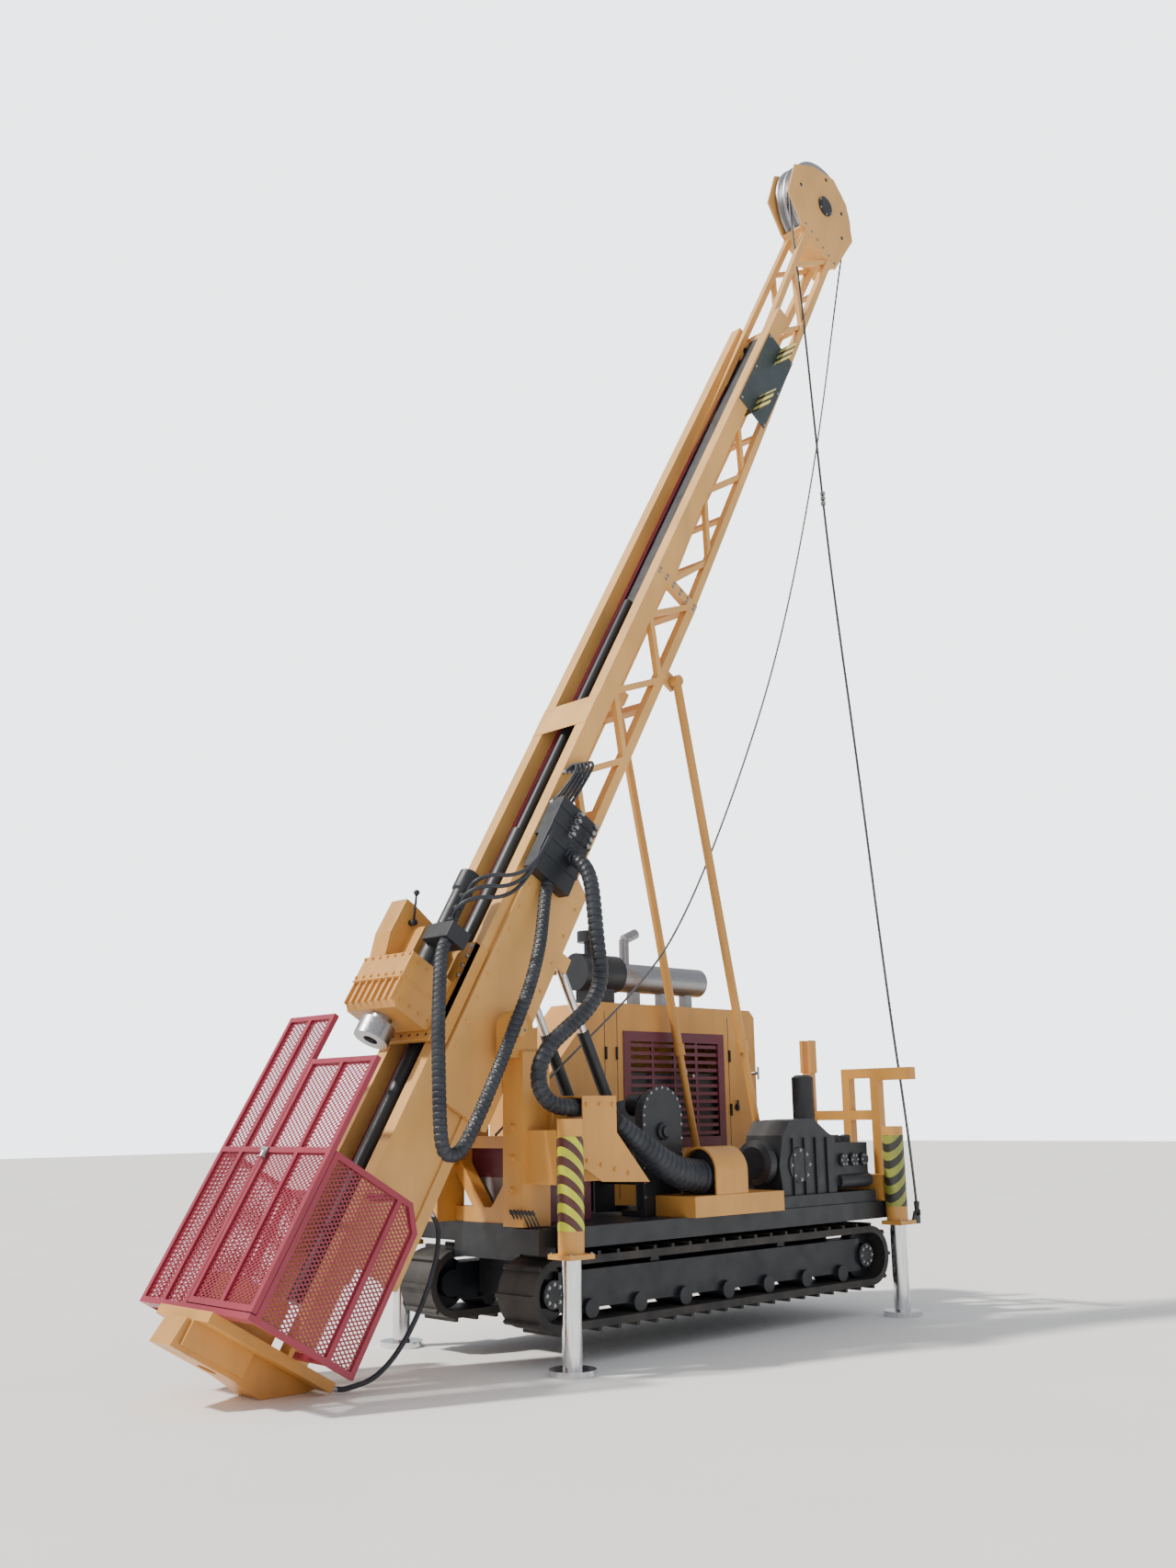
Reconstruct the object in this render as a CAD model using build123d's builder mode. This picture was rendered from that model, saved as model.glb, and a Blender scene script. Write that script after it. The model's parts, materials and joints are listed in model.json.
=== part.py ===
"""Crawler-mounted core drilling rig with a lattice mast, all sizes in millimetres.

Everything is drawn about the front jacks' centre line: +X runs to the rear, +Y to the engine
side, +Z up from the ground. Mast pieces are drawn upright with X as the depth behind the rod
side and Z along the mast, then leaned to the drilling angle. BASE and MAST put both in place.
"""
from math import cos, pi, radians, sin
import os

from build123d import *

os.makedirs("parts", exist_ok=True)

# Where the drawing sits: the origin is under the middle of the rig's outline
JACK_LINE_X = -1290
MAST_ANGLE = 60
BASE = Location((JACK_LINE_X, 0, 0))
MAST = Location((JACK_LINE_X, 0, 0), (0, 90 - MAST_ANGLE, 0))

# Tracks
TRACK_Y = 525
TRACK_WIDTH = 350
TRACK_START, TRACK_END = -180, 3700
TRACK_BOTTOM, TRACK_TOP = 200, 700
SHOE_COUNT = 46
GROUSER = 24
CHAIN_THICK = 50

# Deck and chassis
DECK_BOTTOM, DECK_TOP = 740, 870
DECK_FRONT, DECK_REAR = 40, 3800
DECK_HALF = 800

# Jacks
JACK_Y = 885
REAR_JACK_X = 3560
JACK_TUBE_R = 84
JACK_BOTTOM, JACK_TOP = 690, 1550
JACK_ROD_R = 64
PAD_R = 150
PAD_THICK = 40

# Front frame that carries the mast
POST_IN, POST_OUT = 350, 550
POST_FRONT, POST_REAR = -110, 130
POST_TOP = 1990
PIVOT_X, PIVOT_Z = -100, 2150
PIVOT_R = 60
ARM_BOTTOM, ARM_TOP = 1140, 1480

# Mast, as depth behind and height along the mast
MAST_HALF = 300
RAIL_FRONT, RAIL_BACK = -1580, -1430
RAIL_WIDE = 110
CHORD_BACK = -1060
CHORD = 80
FOOT_END = -620
JOINT_M = 5930
UPPER_END = 10930
RAIL_END = 9500
CROWN_HALF = 140
CROWN_BACK = -1130
CROWN_FRONT = -1600
BAR = 50

# Rod line and drill head
ROD_N = -1850
HEAD_LOW = 1450

# Guard round the drilling floor
GUARD_HALF = 620
GUARD_FRONT, GUARD_BACK = -2120, -1320
GUARD_BOTTOM, GUARD_MID = -620, 370
DOOR_TOP, GUARD_TOP = 1020, 1360
DOOR_EDGE = 90
GUARD_BAR = 36
BRACE_N = -1550

# Stays and tilt cylinders
STAY_FOOT = (2624, 1010)
STAY_TOP_M, STAY_TOP_N = 5170, -985
STAY_Y = 342
CYL_FOOT = (1300, 1100)
CYL_TOP_M, CYL_TOP_N = 2550, -850
CYL_Y = 200


def save(built, name, place):
    """Label one finished piece, put it in place and write it."""
    piece = place * built.part
    piece.label = name
    export_step(piece, f"parts/{name}.step")


def strut(start, end, width, depth=None):
    """Square bar from start to end, added to the part being built."""
    run = Vector(*end) - Vector(*start)
    with Locations(Plane(origin=(Vector(*start) + Vector(*end)) / 2, z_dir=run)):
        Box(width, depth or width, run.length)


def rod(start, end, radius, mode=Mode.ADD):
    """Round bar from start to end, added to or cut from the part being built."""
    run = Vector(*end) - Vector(*start)
    with Locations(Plane(origin=(Vector(*start) + Vector(*end)) / 2, z_dir=run)):
        Cylinder(radius, run.length, mode=mode)


def block(x0, x1, y0, y1, z0, z1, mode=Mode.ADD):
    """Square-edged block between pairs of limits."""
    with Locations(((x0 + x1) / 2, (y0 + y1) / 2, (z0 + z1) / 2)):
        Box(abs(x1 - x0), abs(y1 - y0), abs(z1 - z0), mode=mode)


def mast_point(m, n):
    """Base X and Z of a point given along and behind the mast."""
    lean = radians(MAST_ANGLE)
    return m * cos(lean) + n * sin(lean), m * sin(lean) - n * cos(lean)


# Tracks: one fixed loop each, with its shoes in the outline
TRACK_H = TRACK_TOP - TRACK_BOTTOM - 2 * GROUSER
TRACK_L = TRACK_END - TRACK_START - 2 * GROUSER
TRACK_MID = ((TRACK_START + TRACK_END) / 2, (TRACK_BOTTOM + TRACK_TOP) / 2)
STRAIGHT = TRACK_L - TRACK_H
LOOP_LENGTH = 2 * STRAIGHT + pi * TRACK_H


def on_loop(distance):
    """Point and outward angle on the track's outline at a distance round it."""
    half, radius = STRAIGHT / 2, TRACK_H / 2
    distance = distance % LOOP_LENGTH
    if distance < STRAIGHT:
        return distance - half, radius, 90
    distance -= STRAIGHT
    if distance < pi * radius:
        turn = 90 - degrees_of(distance / radius)
        return half + radius * cos(radians(turn)), radius * sin(radians(turn)), turn
    distance -= pi * radius
    if distance < STRAIGHT:
        return half - distance, -radius, -90
    distance -= STRAIGHT
    turn = -90 - degrees_of(distance / radius)
    return -half + radius * cos(radians(turn)), radius * sin(radians(turn)), turn


def degrees_of(angle):
    """Degrees in an angle given in radians."""
    return angle * 180 / pi


for side, name in ((-1, "track_near"), (1, "track_far")):
    with BuildPart() as track:
        with BuildSketch(Plane.XZ.offset(-(side * TRACK_Y + TRACK_WIDTH / 2))):
            with Locations(TRACK_MID):
                SlotOverall(TRACK_L, TRACK_H)
                SlotOverall(TRACK_L - 2 * CHAIN_THICK, TRACK_H - 2 * CHAIN_THICK, mode=Mode.SUBTRACT)
            for shoe in range(SHOE_COUNT):
                x, z, turn = on_loop(shoe * LOOP_LENGTH / SHOE_COUNT)
                with Locations(Location((TRACK_MID[0] + x, TRACK_MID[1] + z, 0), (0, 0, turn))):
                    Rectangle(2 * GROUSER, 26)
        extrude(amount=TRACK_WIDTH)
    save(track, name, BASE)

# Track frames with sprocket, idler and rollers
AXLE_Z = TRACK_MID[1]
WHEEL_R = TRACK_H / 2 - CHAIN_THICK - 1
ROLLER_R = 62
ROLLER_Z = TRACK_BOTTOM + GROUSER + CHAIN_THICK + 1 + ROLLER_R
IDLER_X = TRACK_START + GROUSER + TRACK_H / 2
SPROCKET_X = TRACK_END - GROUSER - TRACK_H / 2
for side, name in ((-1, "track_frame_near"), (1, "track_frame_far")):
    with BuildPart() as track_frame:
        block(IDLER_X + 60, SPROCKET_X - 60, side * 430, side * 620, ROLLER_Z, 580)
        for wheel_x in (IDLER_X, SPROCKET_X):
            with Locations(Location((wheel_x, side * TRACK_Y, AXLE_Z), (90, 0, 0))):
                Cylinder(WHEEL_R, 90)
                Cylinder(90, 240)
        block(IDLER_X - 30, IDLER_X + 120, side * 430, side * 620, AXLE_Z - 60, AXLE_Z + 60)
        block(SPROCKET_X - 120, SPROCKET_X + 30, side * 430, side * 620, AXLE_Z - 60, AXLE_Z + 60)
        for roller in range(7):
            roller_x = IDLER_X + 330 + roller * (SPROCKET_X - IDLER_X - 660) / 6
            with Locations(Location((roller_x, side * TRACK_Y, ROLLER_Z), (90, 0, 0))):
                Cylinder(ROLLER_R, 260)
        for carrier_x in (IDLER_X + 1000, SPROCKET_X - 1000):
            with Locations(Location((carrier_x, side * TRACK_Y, 580), (90, 0, 0))):
                Cylinder(TRACK_TOP - GROUSER - CHAIN_THICK - 1 - 580, 120)
    save(track_frame, name, BASE)

# Chassis: body between the tracks, axle boxes, deck frame and front bumper
with BuildPart() as chassis:
    block(250, 3350, -330, 330, 380, DECK_BOTTOM)
    for axle_x in (800, 2700):
        block(axle_x - 150, axle_x + 150, -430, 430, 400, 560)
    block(DECK_FRONT, DECK_REAR, -DECK_HALF, DECK_HALF, DECK_BOTTOM, DECK_TOP)
    block(DECK_FRONT, 170, -345, 345, 640, DECK_BOTTOM)
    for side in (-1, 1):
        block(CYL_FOOT[0] - 60, CYL_FOOT[0] + 60, side * 246, side * 270, DECK_TOP, CYL_FOOT[1] + 50)
        block(STAY_FOOT[0] - 50, STAY_FOOT[0] + 50, side * 280, side * 304, DECK_TOP, STAY_FOOT[1] + 45)
        rod((CYL_FOOT[0], side * 240, CYL_FOOT[1]), (CYL_FOOT[0], side * 280, CYL_FOOT[1]), 30.05, mode=Mode.SUBTRACT)
        rod((STAY_FOOT[0], side * 270, STAY_FOOT[1]), (STAY_FOOT[0], side * 310, STAY_FOOT[1]), 28.05, mode=Mode.SUBTRACT)
save(chassis, "chassis", BASE)

# Front frame: posts with pivot ears, cross beam, struts, arms and front jack tubes
with BuildPart() as front_frame:
    for side in (-1, 1):
        block(POST_FRONT, POST_REAR, side * POST_IN, side * POST_OUT, DECK_TOP, POST_TOP)
        block(PIVOT_X - 110, PIVOT_X + 150, side * 400, side * 520, POST_TOP - 40, PIVOT_Z)
        with Locations(Location((PIVOT_X, side * 460, PIVOT_Z), (90, 0, 0))):
            Cylinder(110, 120)
            Cylinder(PIVOT_R + 0.05, 120, mode=Mode.SUBTRACT)
        block(-70, 110, side * POST_OUT, side * 830, ARM_BOTTOM, ARM_TOP)
        with Locations((0, side * JACK_Y, (JACK_BOTTOM + JACK_TOP) / 2)):
            Cylinder(JACK_TUBE_R, JACK_TOP - JACK_BOTTOM)
        block(-105, 105, side * (JACK_Y - 105), side * (JACK_Y + 105), JACK_BOTTOM, JACK_BOTTOM + 30)
        block(105, 560, side * 600, side * 612, ARM_BOTTOM, 1690)
        strut((95, side * 330, 1250), (95, side * 40, DECK_TOP + 30), 90)
        with Locations((0, side * JACK_Y, JACK_BOTTOM + 380)):
            Cylinder(JACK_ROD_R + 0.5, 800, mode=Mode.SUBTRACT)
    block(50, 150, -POST_IN, POST_IN, DECK_TOP, DECK_TOP + 100)
    block(50, 150, -POST_IN, POST_IN, 1360, 1440)
save(front_frame, "front_frame", BASE)

# Rear outriggers: cross beam with the rear jack tubes
with BuildPart() as rear_outriggers:
    block(REAR_JACK_X - 70, REAR_JACK_X + 90, -815, 815, DECK_TOP, DECK_TOP + 200)
    for side in (-1, 1):
        with Locations((REAR_JACK_X, side * JACK_Y, (JACK_BOTTOM + 1450) / 2)):
            Cylinder(JACK_TUBE_R, 1450 - JACK_BOTTOM)
        block(REAR_JACK_X - 105, REAR_JACK_X + 105, side * (JACK_Y - 80), side * (JACK_Y + 105), JACK_BOTTOM, JACK_BOTTOM + 30)
        with Locations((REAR_JACK_X, side * JACK_Y, 1045)):
            Cylinder(JACK_ROD_R + 0.5, 770, mode=Mode.SUBTRACT)
save(rear_outriggers, "rear_outriggers", BASE)

# Jack rods, each on its pad
for name, jack_x, side in (
    ("jack_front_near", 0, -1),
    ("jack_front_far", 0, 1),
    ("jack_rear_near", REAR_JACK_X, -1),
    ("jack_rear_far", REAR_JACK_X, 1),
):
    with BuildPart() as jack:
        with Locations((jack_x, side * JACK_Y, PAD_THICK / 2)):
            Cylinder(PAD_R, PAD_THICK)
        with Locations((jack_x, side * JACK_Y, 470)):
            Cylinder(JACK_ROD_R, 880)
    save(jack, name, BASE)

# Engine hood, hollow, with its side grille
HOOD_X0, HOOD_X1 = 900, 3470
HOOD_Y0, HOOD_Y1 = 440, 1000
HOOD_TOP = 2450
HOOD_WALL = 12
with BuildPart() as hood:
    with BuildSketch(Plane.XZ.offset(-HOOD_Y1)):
        with BuildLine():
            Polyline(
                (HOOD_X0, DECK_TOP), (HOOD_X0, 1750), (1560, HOOD_TOP), (HOOD_X1 - 60, HOOD_TOP),
                (HOOD_X1, HOOD_TOP - 60), (HOOD_X1, DECK_TOP), close=True,
            )
        make_face()
    extrude(amount=HOOD_Y1 - HOOD_Y0)
    floor = hood.faces().sort_by(Axis.Z)[0]
    offset(amount=-HOOD_WALL, openings=floor)
    block(1825, 3045, HOOD_Y0 - 5, HOOD_Y0 + 30, 1305, 2230, mode=Mode.SUBTRACT)
save(hood, "hood", BASE)

with BuildPart() as hood_grille:
    block(1825, 3045, HOOD_Y0 - 8, HOOD_Y0 + 20, 1305, 2230)
    block(1905, 2965, HOOD_Y0 - 8, HOOD_Y0 + 20, 1385, 2150, mode=Mode.SUBTRACT)
    for slat in range(12):
        slat_z = 1416 + slat * 64
        block(1905, 2965, HOOD_Y0 + 2, HOOD_Y0 + 14, slat_z - 14, slat_z + 14)
    for upright in (2170, 2435, 2700):
        block(upright - 15, upright + 15, HOOD_Y0 + 2, HOOD_Y0 + 18, 1385, 2150)
save(hood_grille, "hood_grille", BASE)

with BuildPart() as engine_block:
    block(1500, 3000, 480, 900, DECK_TOP, 1900)
save(engine_block, "engine_block", BASE)

with BuildPart() as air_cleaner:
    rod((1420, 560, 2690), (1860, 560, 2690), 150)
    block(1500, 1780, 480, 640, HOOD_TOP, 2600)
    with Locations((1590, 560, 2900)):
        Cylinder(50, 160)
    with Locations((1590, 560, 2980)):
        Cylinder(105, 90)
save(air_cleaner, "air_cleaner", BASE)

with BuildPart() as muffler:
    rod((1960, 640, 2680), (2960, 640, 2680), 120)
    for leg_x in (2160, 2500, 2800):
        block(leg_x - 40, leg_x + 40, 600, 680, HOOD_TOP, 2620)
    rod((2060, 640, 2700), (2060, 640, 3000), 42)
    rod((2060, 640, 3000), (2200, 640, 3060), 42)
save(muffler, "muffler", BASE)

# Main hoist: chain case and drum
with BuildPart() as winch_case:
    block(1060, 1500, -480, -400, DECK_TOP, 1560)
    with Locations(Location((1280, -440, 1560), (90, 0, 0))):
        Cylinder(220, 80)
    block(1160, 1410, 121, 135, DECK_TOP, 1560)
    block(1060, 1500, -480, -276, DECK_TOP, 910)
    block(1400, 1500, -480, 135, DECK_TOP, 910)
    rod((1280, 110, 1450), (1280, 140, 1450), 45.05, mode=Mode.SUBTRACT)
    rod((CYL_FOOT[0], 110, CYL_FOOT[1]), (CYL_FOOT[0], 140, CYL_FOOT[1]), 36, mode=Mode.SUBTRACT)
save(winch_case, "winch_case", BASE)

with BuildPart() as hoist_drum:
    rod((1280, -115, 1450), (1280, 115, 1450), 120)
    for flange_y in (-115, 97):
        rod((1280, flange_y, 1450), (1280, flange_y + 18, 1450), 225)
    rod((1280, -399, 1450), (1280, 135, 1450), 45)
save(hoist_drum, "hoist_drum", BASE)

# Wireline winch: yellow housing over its drum
with BuildPart() as wireline_housing:
    block(1180, 2150, -880, -500, DECK_TOP, 1010)
    rod((1420, -700, 1170), (1760, -700, 1170), 170)
    block(1420, 1760, -870, -530, 1010, 1170)
    rod((1400, -700, 1170), (1740, -700, 1170), 155, mode=Mode.SUBTRACT)
    block(1400, 1740, -855, -545, 1010, 1170, mode=Mode.SUBTRACT)
    rod((1730, -700, 1170), (1770, -700, 1170), 30.05, mode=Mode.SUBTRACT)
save(wireline_housing, "wireline_housing", BASE)

with BuildPart() as wireline_drum:
    rod((1450, -700, 1170), (1730, -700, 1170), 90)
    for flange_x in (1450, 1715):
        rod((flange_x, -700, 1170), (flange_x + 15, -700, 1170), 145)
    rod((1730, -700, 1170), (1760, -700, 1170), 30)
save(wireline_drum, "wireline_drum", BASE)

# Mud pump with its tall tank
with BuildPart() as mud_pump:
    block(2240, 3420, -790, -396, DECK_TOP, 960)
    block(2300, 2950, -760, -405, 960, 1400)
    block(2950, 3380, -760, -396, 960, 1300)
    rod((2500, -770, 1330), (2500, -405, 1330), 190)
    rod((2200, -580, 1200), (2300, -580, 1200), 170)
    block(3120, 3300, -360, -180, DECK_TOP, 1870)
    block(2950, 3350, -400, -180, DECK_TOP, 1000)
save(mud_pump, "mud_pump", BASE)

# Rear frame with its reaching arm
with BuildPart() as rear_frame:
    for post_y in (-350, -640):
        block(3690, 3770, post_y - 40, post_y + 40, DECK_TOP, 1880)
    block(3690, 3770, -680, 150, 1500, 1580)
    block(3690, 3770, -700, -310, 1840, 1920)
    block(3690, 3770, -1000, -680, 1820, 1920)
    block(3690, 3770, 20, 100, DECK_TOP, 1900)
    for fork_y in (0, 90):
        block(3690, 3770, fork_y, fork_y + 30, 1900, 2180)
save(rear_frame, "rear_frame", BASE)

with BuildPart() as valve_bank:
    block(-110, 35, -700, -440, 706, 862)
    block(35, 40, -690, -450, 745, 860)
save(valve_bank, "valve_bank", BASE)

with BuildPart() as front_tank:
    block(190, 700, -340, 340, DECK_TOP, 1420)
save(front_tank, "front_tank", BASE)

# Tilt frame that carries the mast on its trunnions
PIVOT_M = PIVOT_X * cos(radians(MAST_ANGLE)) + PIVOT_Z * sin(radians(MAST_ANGLE))
PIVOT_N = PIVOT_X * sin(radians(MAST_ANGLE)) - PIVOT_Z * cos(radians(MAST_ANGLE))
with BuildPart() as tilt_frame:
    for side in (-1, 1):
        inner_y = 306 if side > 0 else -340
        with BuildSketch(Plane.XZ.offset(-inner_y)):
            with BuildLine():
                Polyline(
                    (-1500, 1350), (-1350, 1150), (-950, 1150), (-950, 3050), (-1150, 3150),
                    (-1500, 2900), close=True,
                )
            make_face()
        extrude(amount=-34)
        with Locations(Location((PIVOT_N, side * 430, PIVOT_M), (90, 0, 0))):
            Cylinder(PIVOT_R, 190)
    for beam_m in (1250, 3000):
        block(-1045, -950, -340, 340, beam_m - 60, beam_m + 60)
    block(-1045, -950, -340, 340, CYL_TOP_M - 90, CYL_TOP_M + 90)
    for side in (-1, 1):
        block(-960, -800, side * (CYL_Y + 36), side * (CYL_Y + 60), CYL_TOP_M - 60, CYL_TOP_M + 60)
        block(-960, -800, side * (CYL_Y - 60), side * (CYL_Y - 36), CYL_TOP_M - 60, CYL_TOP_M + 60)
save(tilt_frame, "tilt_frame", MAST)

# Tilt cylinders: barrels on one foot shaft, rods on one top pin
CYL_TOP = mast_point(CYL_TOP_M, CYL_TOP_N)
CYL_RUN = Vector(CYL_TOP[0] - CYL_FOOT[0], 0, CYL_TOP[1] - CYL_FOOT[1])
CYL_AXIS = CYL_RUN.normalized()


def along_cylinder(distance, y):
    """Point on a tilt cylinder's centre line at a distance from its foot."""
    return (CYL_FOOT[0] + CYL_AXIS.X * distance, y, CYL_FOOT[1] + CYL_AXIS.Z * distance)


BARREL_END = 1180
with BuildPart() as tilt_barrels:
    rod((CYL_FOOT[0], -CYL_Y - 70, CYL_FOOT[1]), (CYL_FOOT[0], CYL_Y + 70, CYL_FOOT[1]), 30)
    for side in (-1, 1):
        rod(along_cylinder(0, side * CYL_Y), along_cylinder(BARREL_END, side * CYL_Y), 45)
        rod(along_cylinder(120, side * CYL_Y), along_cylinder(BARREL_END + 10, side * CYL_Y), 36, mode=Mode.SUBTRACT)
save(tilt_barrels, "tilt_barrels", BASE)

with BuildPart() as tilt_rods:
    for side in (-1, 1):
        rod(along_cylinder(600, side * CYL_Y), along_cylinder(CYL_RUN.length, side * CYL_Y), 32)
        rod((CYL_TOP[0], side * CYL_Y - 30, CYL_TOP[1]), (CYL_TOP[0], side * CYL_Y + 30, CYL_TOP[1]), 50)
save(tilt_rods, "tilt_rods", BASE)

# Lower mast: two front rails, two back chords and the lattice between them
CHORD_MID = CHORD_BACK - CHORD / 2
LOWER_BAYS = 7
BAY_START = 3000
with BuildPart() as lower_mast:
    for side in (-1, 1):
        block(RAIL_FRONT, RAIL_BACK, side * (MAST_HALF - RAIL_WIDE), side * MAST_HALF, FOOT_END, JOINT_M)
        block(CHORD_BACK - CHORD, CHORD_BACK, side * (MAST_HALF - CHORD), side * MAST_HALF, 0, JOINT_M)
        block(RAIL_BACK - 30, CHORD_BACK - 20, side * (MAST_HALF - 30), side * (MAST_HALF - 18), 0, BAY_START)
        bay = (JOINT_M - BAY_START) / LOWER_BAYS
        for step in range(LOWER_BAYS):
            low, high = BAY_START + step * bay, BAY_START + (step + 1) * bay
            ends = (low, high) if step % 2 == 0 else (high, low)
            y = side * (MAST_HALF - BAR / 2)
            strut((RAIL_BACK - 20, y, ends[0]), (CHORD_MID, y, ends[1]), BAR)
    block(-1440, -1430, -200, 200, 0, JOINT_M)
    for tie in range(6):
        tie_m = 400 + tie * 1100
        block(CHORD_BACK - CHORD, CHORD_BACK - 20, -250, 250, tie_m - 35, tie_m + 35)
    block(-1584, -1580, -MAST_HALF, MAST_HALF, 4240, 4520)
    for side in (-1, 1):
        block(RAIL_FRONT, CHORD_BACK, side * (MAST_HALF - 70), side * MAST_HALF, JOINT_M - 40, JOINT_M)
    for side in (-1, 1):
        block(CHORD_BACK - 10, STAY_TOP_N + 45, side * 262, side * 292, STAY_TOP_M - 60, STAY_TOP_M + 60)
    block(-1700, -1000, -400, 400, JOINT_M, JOINT_M + 200, mode=Mode.SUBTRACT)
save(lower_mast, "lower_mast", MAST)

# Upper mast: bolted on, tapering to the crown
TAPER_BAYS = 9
with BuildPart() as upper_mast:
    for side in (-1, 1):
        block(RAIL_FRONT, RAIL_BACK, side * (MAST_HALF - RAIL_WIDE), side * MAST_HALF, JOINT_M, RAIL_END)
        block(RAIL_FRONT, CHORD_BACK, side * (MAST_HALF - 70), side * MAST_HALF, JOINT_M, JOINT_M + 40)
        back = (CHORD_MID, side * (MAST_HALF - 40), JOINT_M)
        back_top = (CROWN_BACK - 40, side * (CROWN_HALF - 30), UPPER_END)
        front = (RAIL_BACK + 30, side * (MAST_HALF - 40), JOINT_M)
        front_top = (CROWN_FRONT + 40, side * (CROWN_HALF - 30), UPPER_END)
        strut(back, back_top, 70)
        strut(front, front_top, 60)
        for step in range(TAPER_BAYS):
            low, high = step / TAPER_BAYS, (step + 1) / TAPER_BAYS
            first, second = (low, high) if step % 2 == 0 else (high, low)
            start = Vector(*front) + (Vector(*front_top) - Vector(*front)) * first
            end = Vector(*back) + (Vector(*back_top) - Vector(*back)) * second
            strut((start.X, start.Y, start.Z), (end.X, end.Y, end.Z), 44)
    for step in range(1, TAPER_BAYS):
        share = step / TAPER_BAYS
        half = MAST_HALF - 40 + (CROWN_HALF - 30 - MAST_HALF + 40) * share
        n = CHORD_MID + (CROWN_BACK - 40 - CHORD_MID) * share
        m = JOINT_M + (UPPER_END - JOINT_M) * share
        strut((n, -half, m), (n, half, m), 44)
    block(-1440, -1430, -200, 200, JOINT_M, RAIL_END)
    block(RAIL_BACK - 5, RAIL_BACK + 50, -MAST_HALF + 30, MAST_HALF - 30, RAIL_END - 60, RAIL_END)
    block(CROWN_FRONT, CROWN_BACK, -CROWN_HALF, CROWN_HALF, UPPER_END - 30, UPPER_END)
    block(-1700, -1000, -400, 400, UPPER_END, UPPER_END + 200, mode=Mode.SUBTRACT)
    block(-1700, -1000, -400, 400, JOINT_M - 200, JOINT_M, mode=Mode.SUBTRACT)
save(upper_mast, "upper_mast", MAST)

with BuildPart() as hazard_panel:
    block(-1560, -1180, -306, -300, 8150, 9110)
save(hazard_panel, "hazard_panel", MAST)

# Crown: two side plates with the big sheave between them
HUB_M, HUB_N = 11460, -1500
with BuildPart() as crown:
    block(CROWN_FRONT, CROWN_BACK, -CROWN_HALF, CROWN_HALF, UPPER_END, UPPER_END + 40)
    for side in (-1, 1):
        with BuildSketch(Plane.XZ.offset(-(side * (CROWN_HALF - 10) + 10))):
            with BuildLine():
                Polyline(
                    (CROWN_FRONT, UPPER_END), (CROWN_BACK, UPPER_END), (CROWN_BACK + 120, HUB_M - 120),
                    (CROWN_BACK + 20, HUB_M + 330), (-1500, HUB_M + 440), (-1850, HUB_M + 300),
                    (-1960, HUB_M), (-1800, HUB_M - 330), close=True,
                )
            make_face()
        extrude(amount=20)
    with Locations(Location((HUB_N, 0, HUB_M), (90, 0, 0))):
        Cylinder(70.05, 2 * CROWN_HALF + 10, mode=Mode.SUBTRACT)
save(crown, "crown", MAST)

with BuildPart() as crown_sheave:
    with BuildSketch(Plane.XZ.offset(-60)) as rim:
        with Locations((HUB_N, HUB_M)):
            Circle(470)
    extrude(amount=120)
    with Locations(Location((HUB_N, 0, HUB_M), (90, 0, 0))):
        Torus(470, 30, mode=Mode.SUBTRACT)
        Cylinder(70, 2 * CROWN_HALF + 20)
save(crown_sheave, "crown_sheave", MAST)

# Feed cylinder in the recess between the front rails
with BuildPart() as feed_cylinder:
    rod((-1500, 0, -300), (-1500, 0, 3300), 60)
    rod((-1500, 0, 3300), (-1500, 0, 5700), 40)
save(feed_cylinder, "feed_cylinder", MAST)

# Drill head: carriage on the rails and gearbox in front of it
with BuildPart() as drill_head:
    block(-1640, -1590, -MAST_HALF - 20, MAST_HALF + 20, HEAD_LOW, HEAD_LOW + 750)
    for side in (-1, 1):
        block(-1640, -1510, side * (MAST_HALF + 6), side * (MAST_HALF + 20), HEAD_LOW, HEAD_LOW + 750)
    block(-2120, -1640, -270, 270, HEAD_LOW, HEAD_LOW + 430)
    block(-1960, -1640, -180, 180, HEAD_LOW + 430, HEAD_LOW + 640)
    with Locations((ROD_N, 0, HEAD_LOW + 215)):
        Cylinder(75.05, 500, mode=Mode.SUBTRACT)
save(drill_head, "drill_head", MAST)

MOTOR_R = 58
MOTOR_TOP = HEAD_LOW + 1080
with BuildPart() as head_motors:
    for side in (-1, 1):
        with Locations((ROD_N + 60, side * 244, (HEAD_LOW + 430 + MOTOR_TOP) / 2)):
            Cylinder(MOTOR_R, MOTOR_TOP - HEAD_LOW - 430)
    block(ROD_N - 10, ROD_N + 130, -296, 296, HEAD_LOW + 660, HEAD_LOW + 700)
    with Locations((ROD_N, 0, HEAD_LOW + 680)):
        Cylinder(84, 200, mode=Mode.SUBTRACT)
save(head_motors, "head_motors", MAST)

with BuildPart() as chuck:
    with Locations((ROD_N, 0, HEAD_LOW + 150)):
        Cylinder(75, 500)
    with Locations((ROD_N, 0, HEAD_LOW - 70)):
        Cylinder(120, 120)
    with Locations((ROD_N, 0, HEAD_LOW + 100)):
        Cylinder(50, 1200, mode=Mode.SUBTRACT)
save(chuck, "chuck", MAST)

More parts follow.
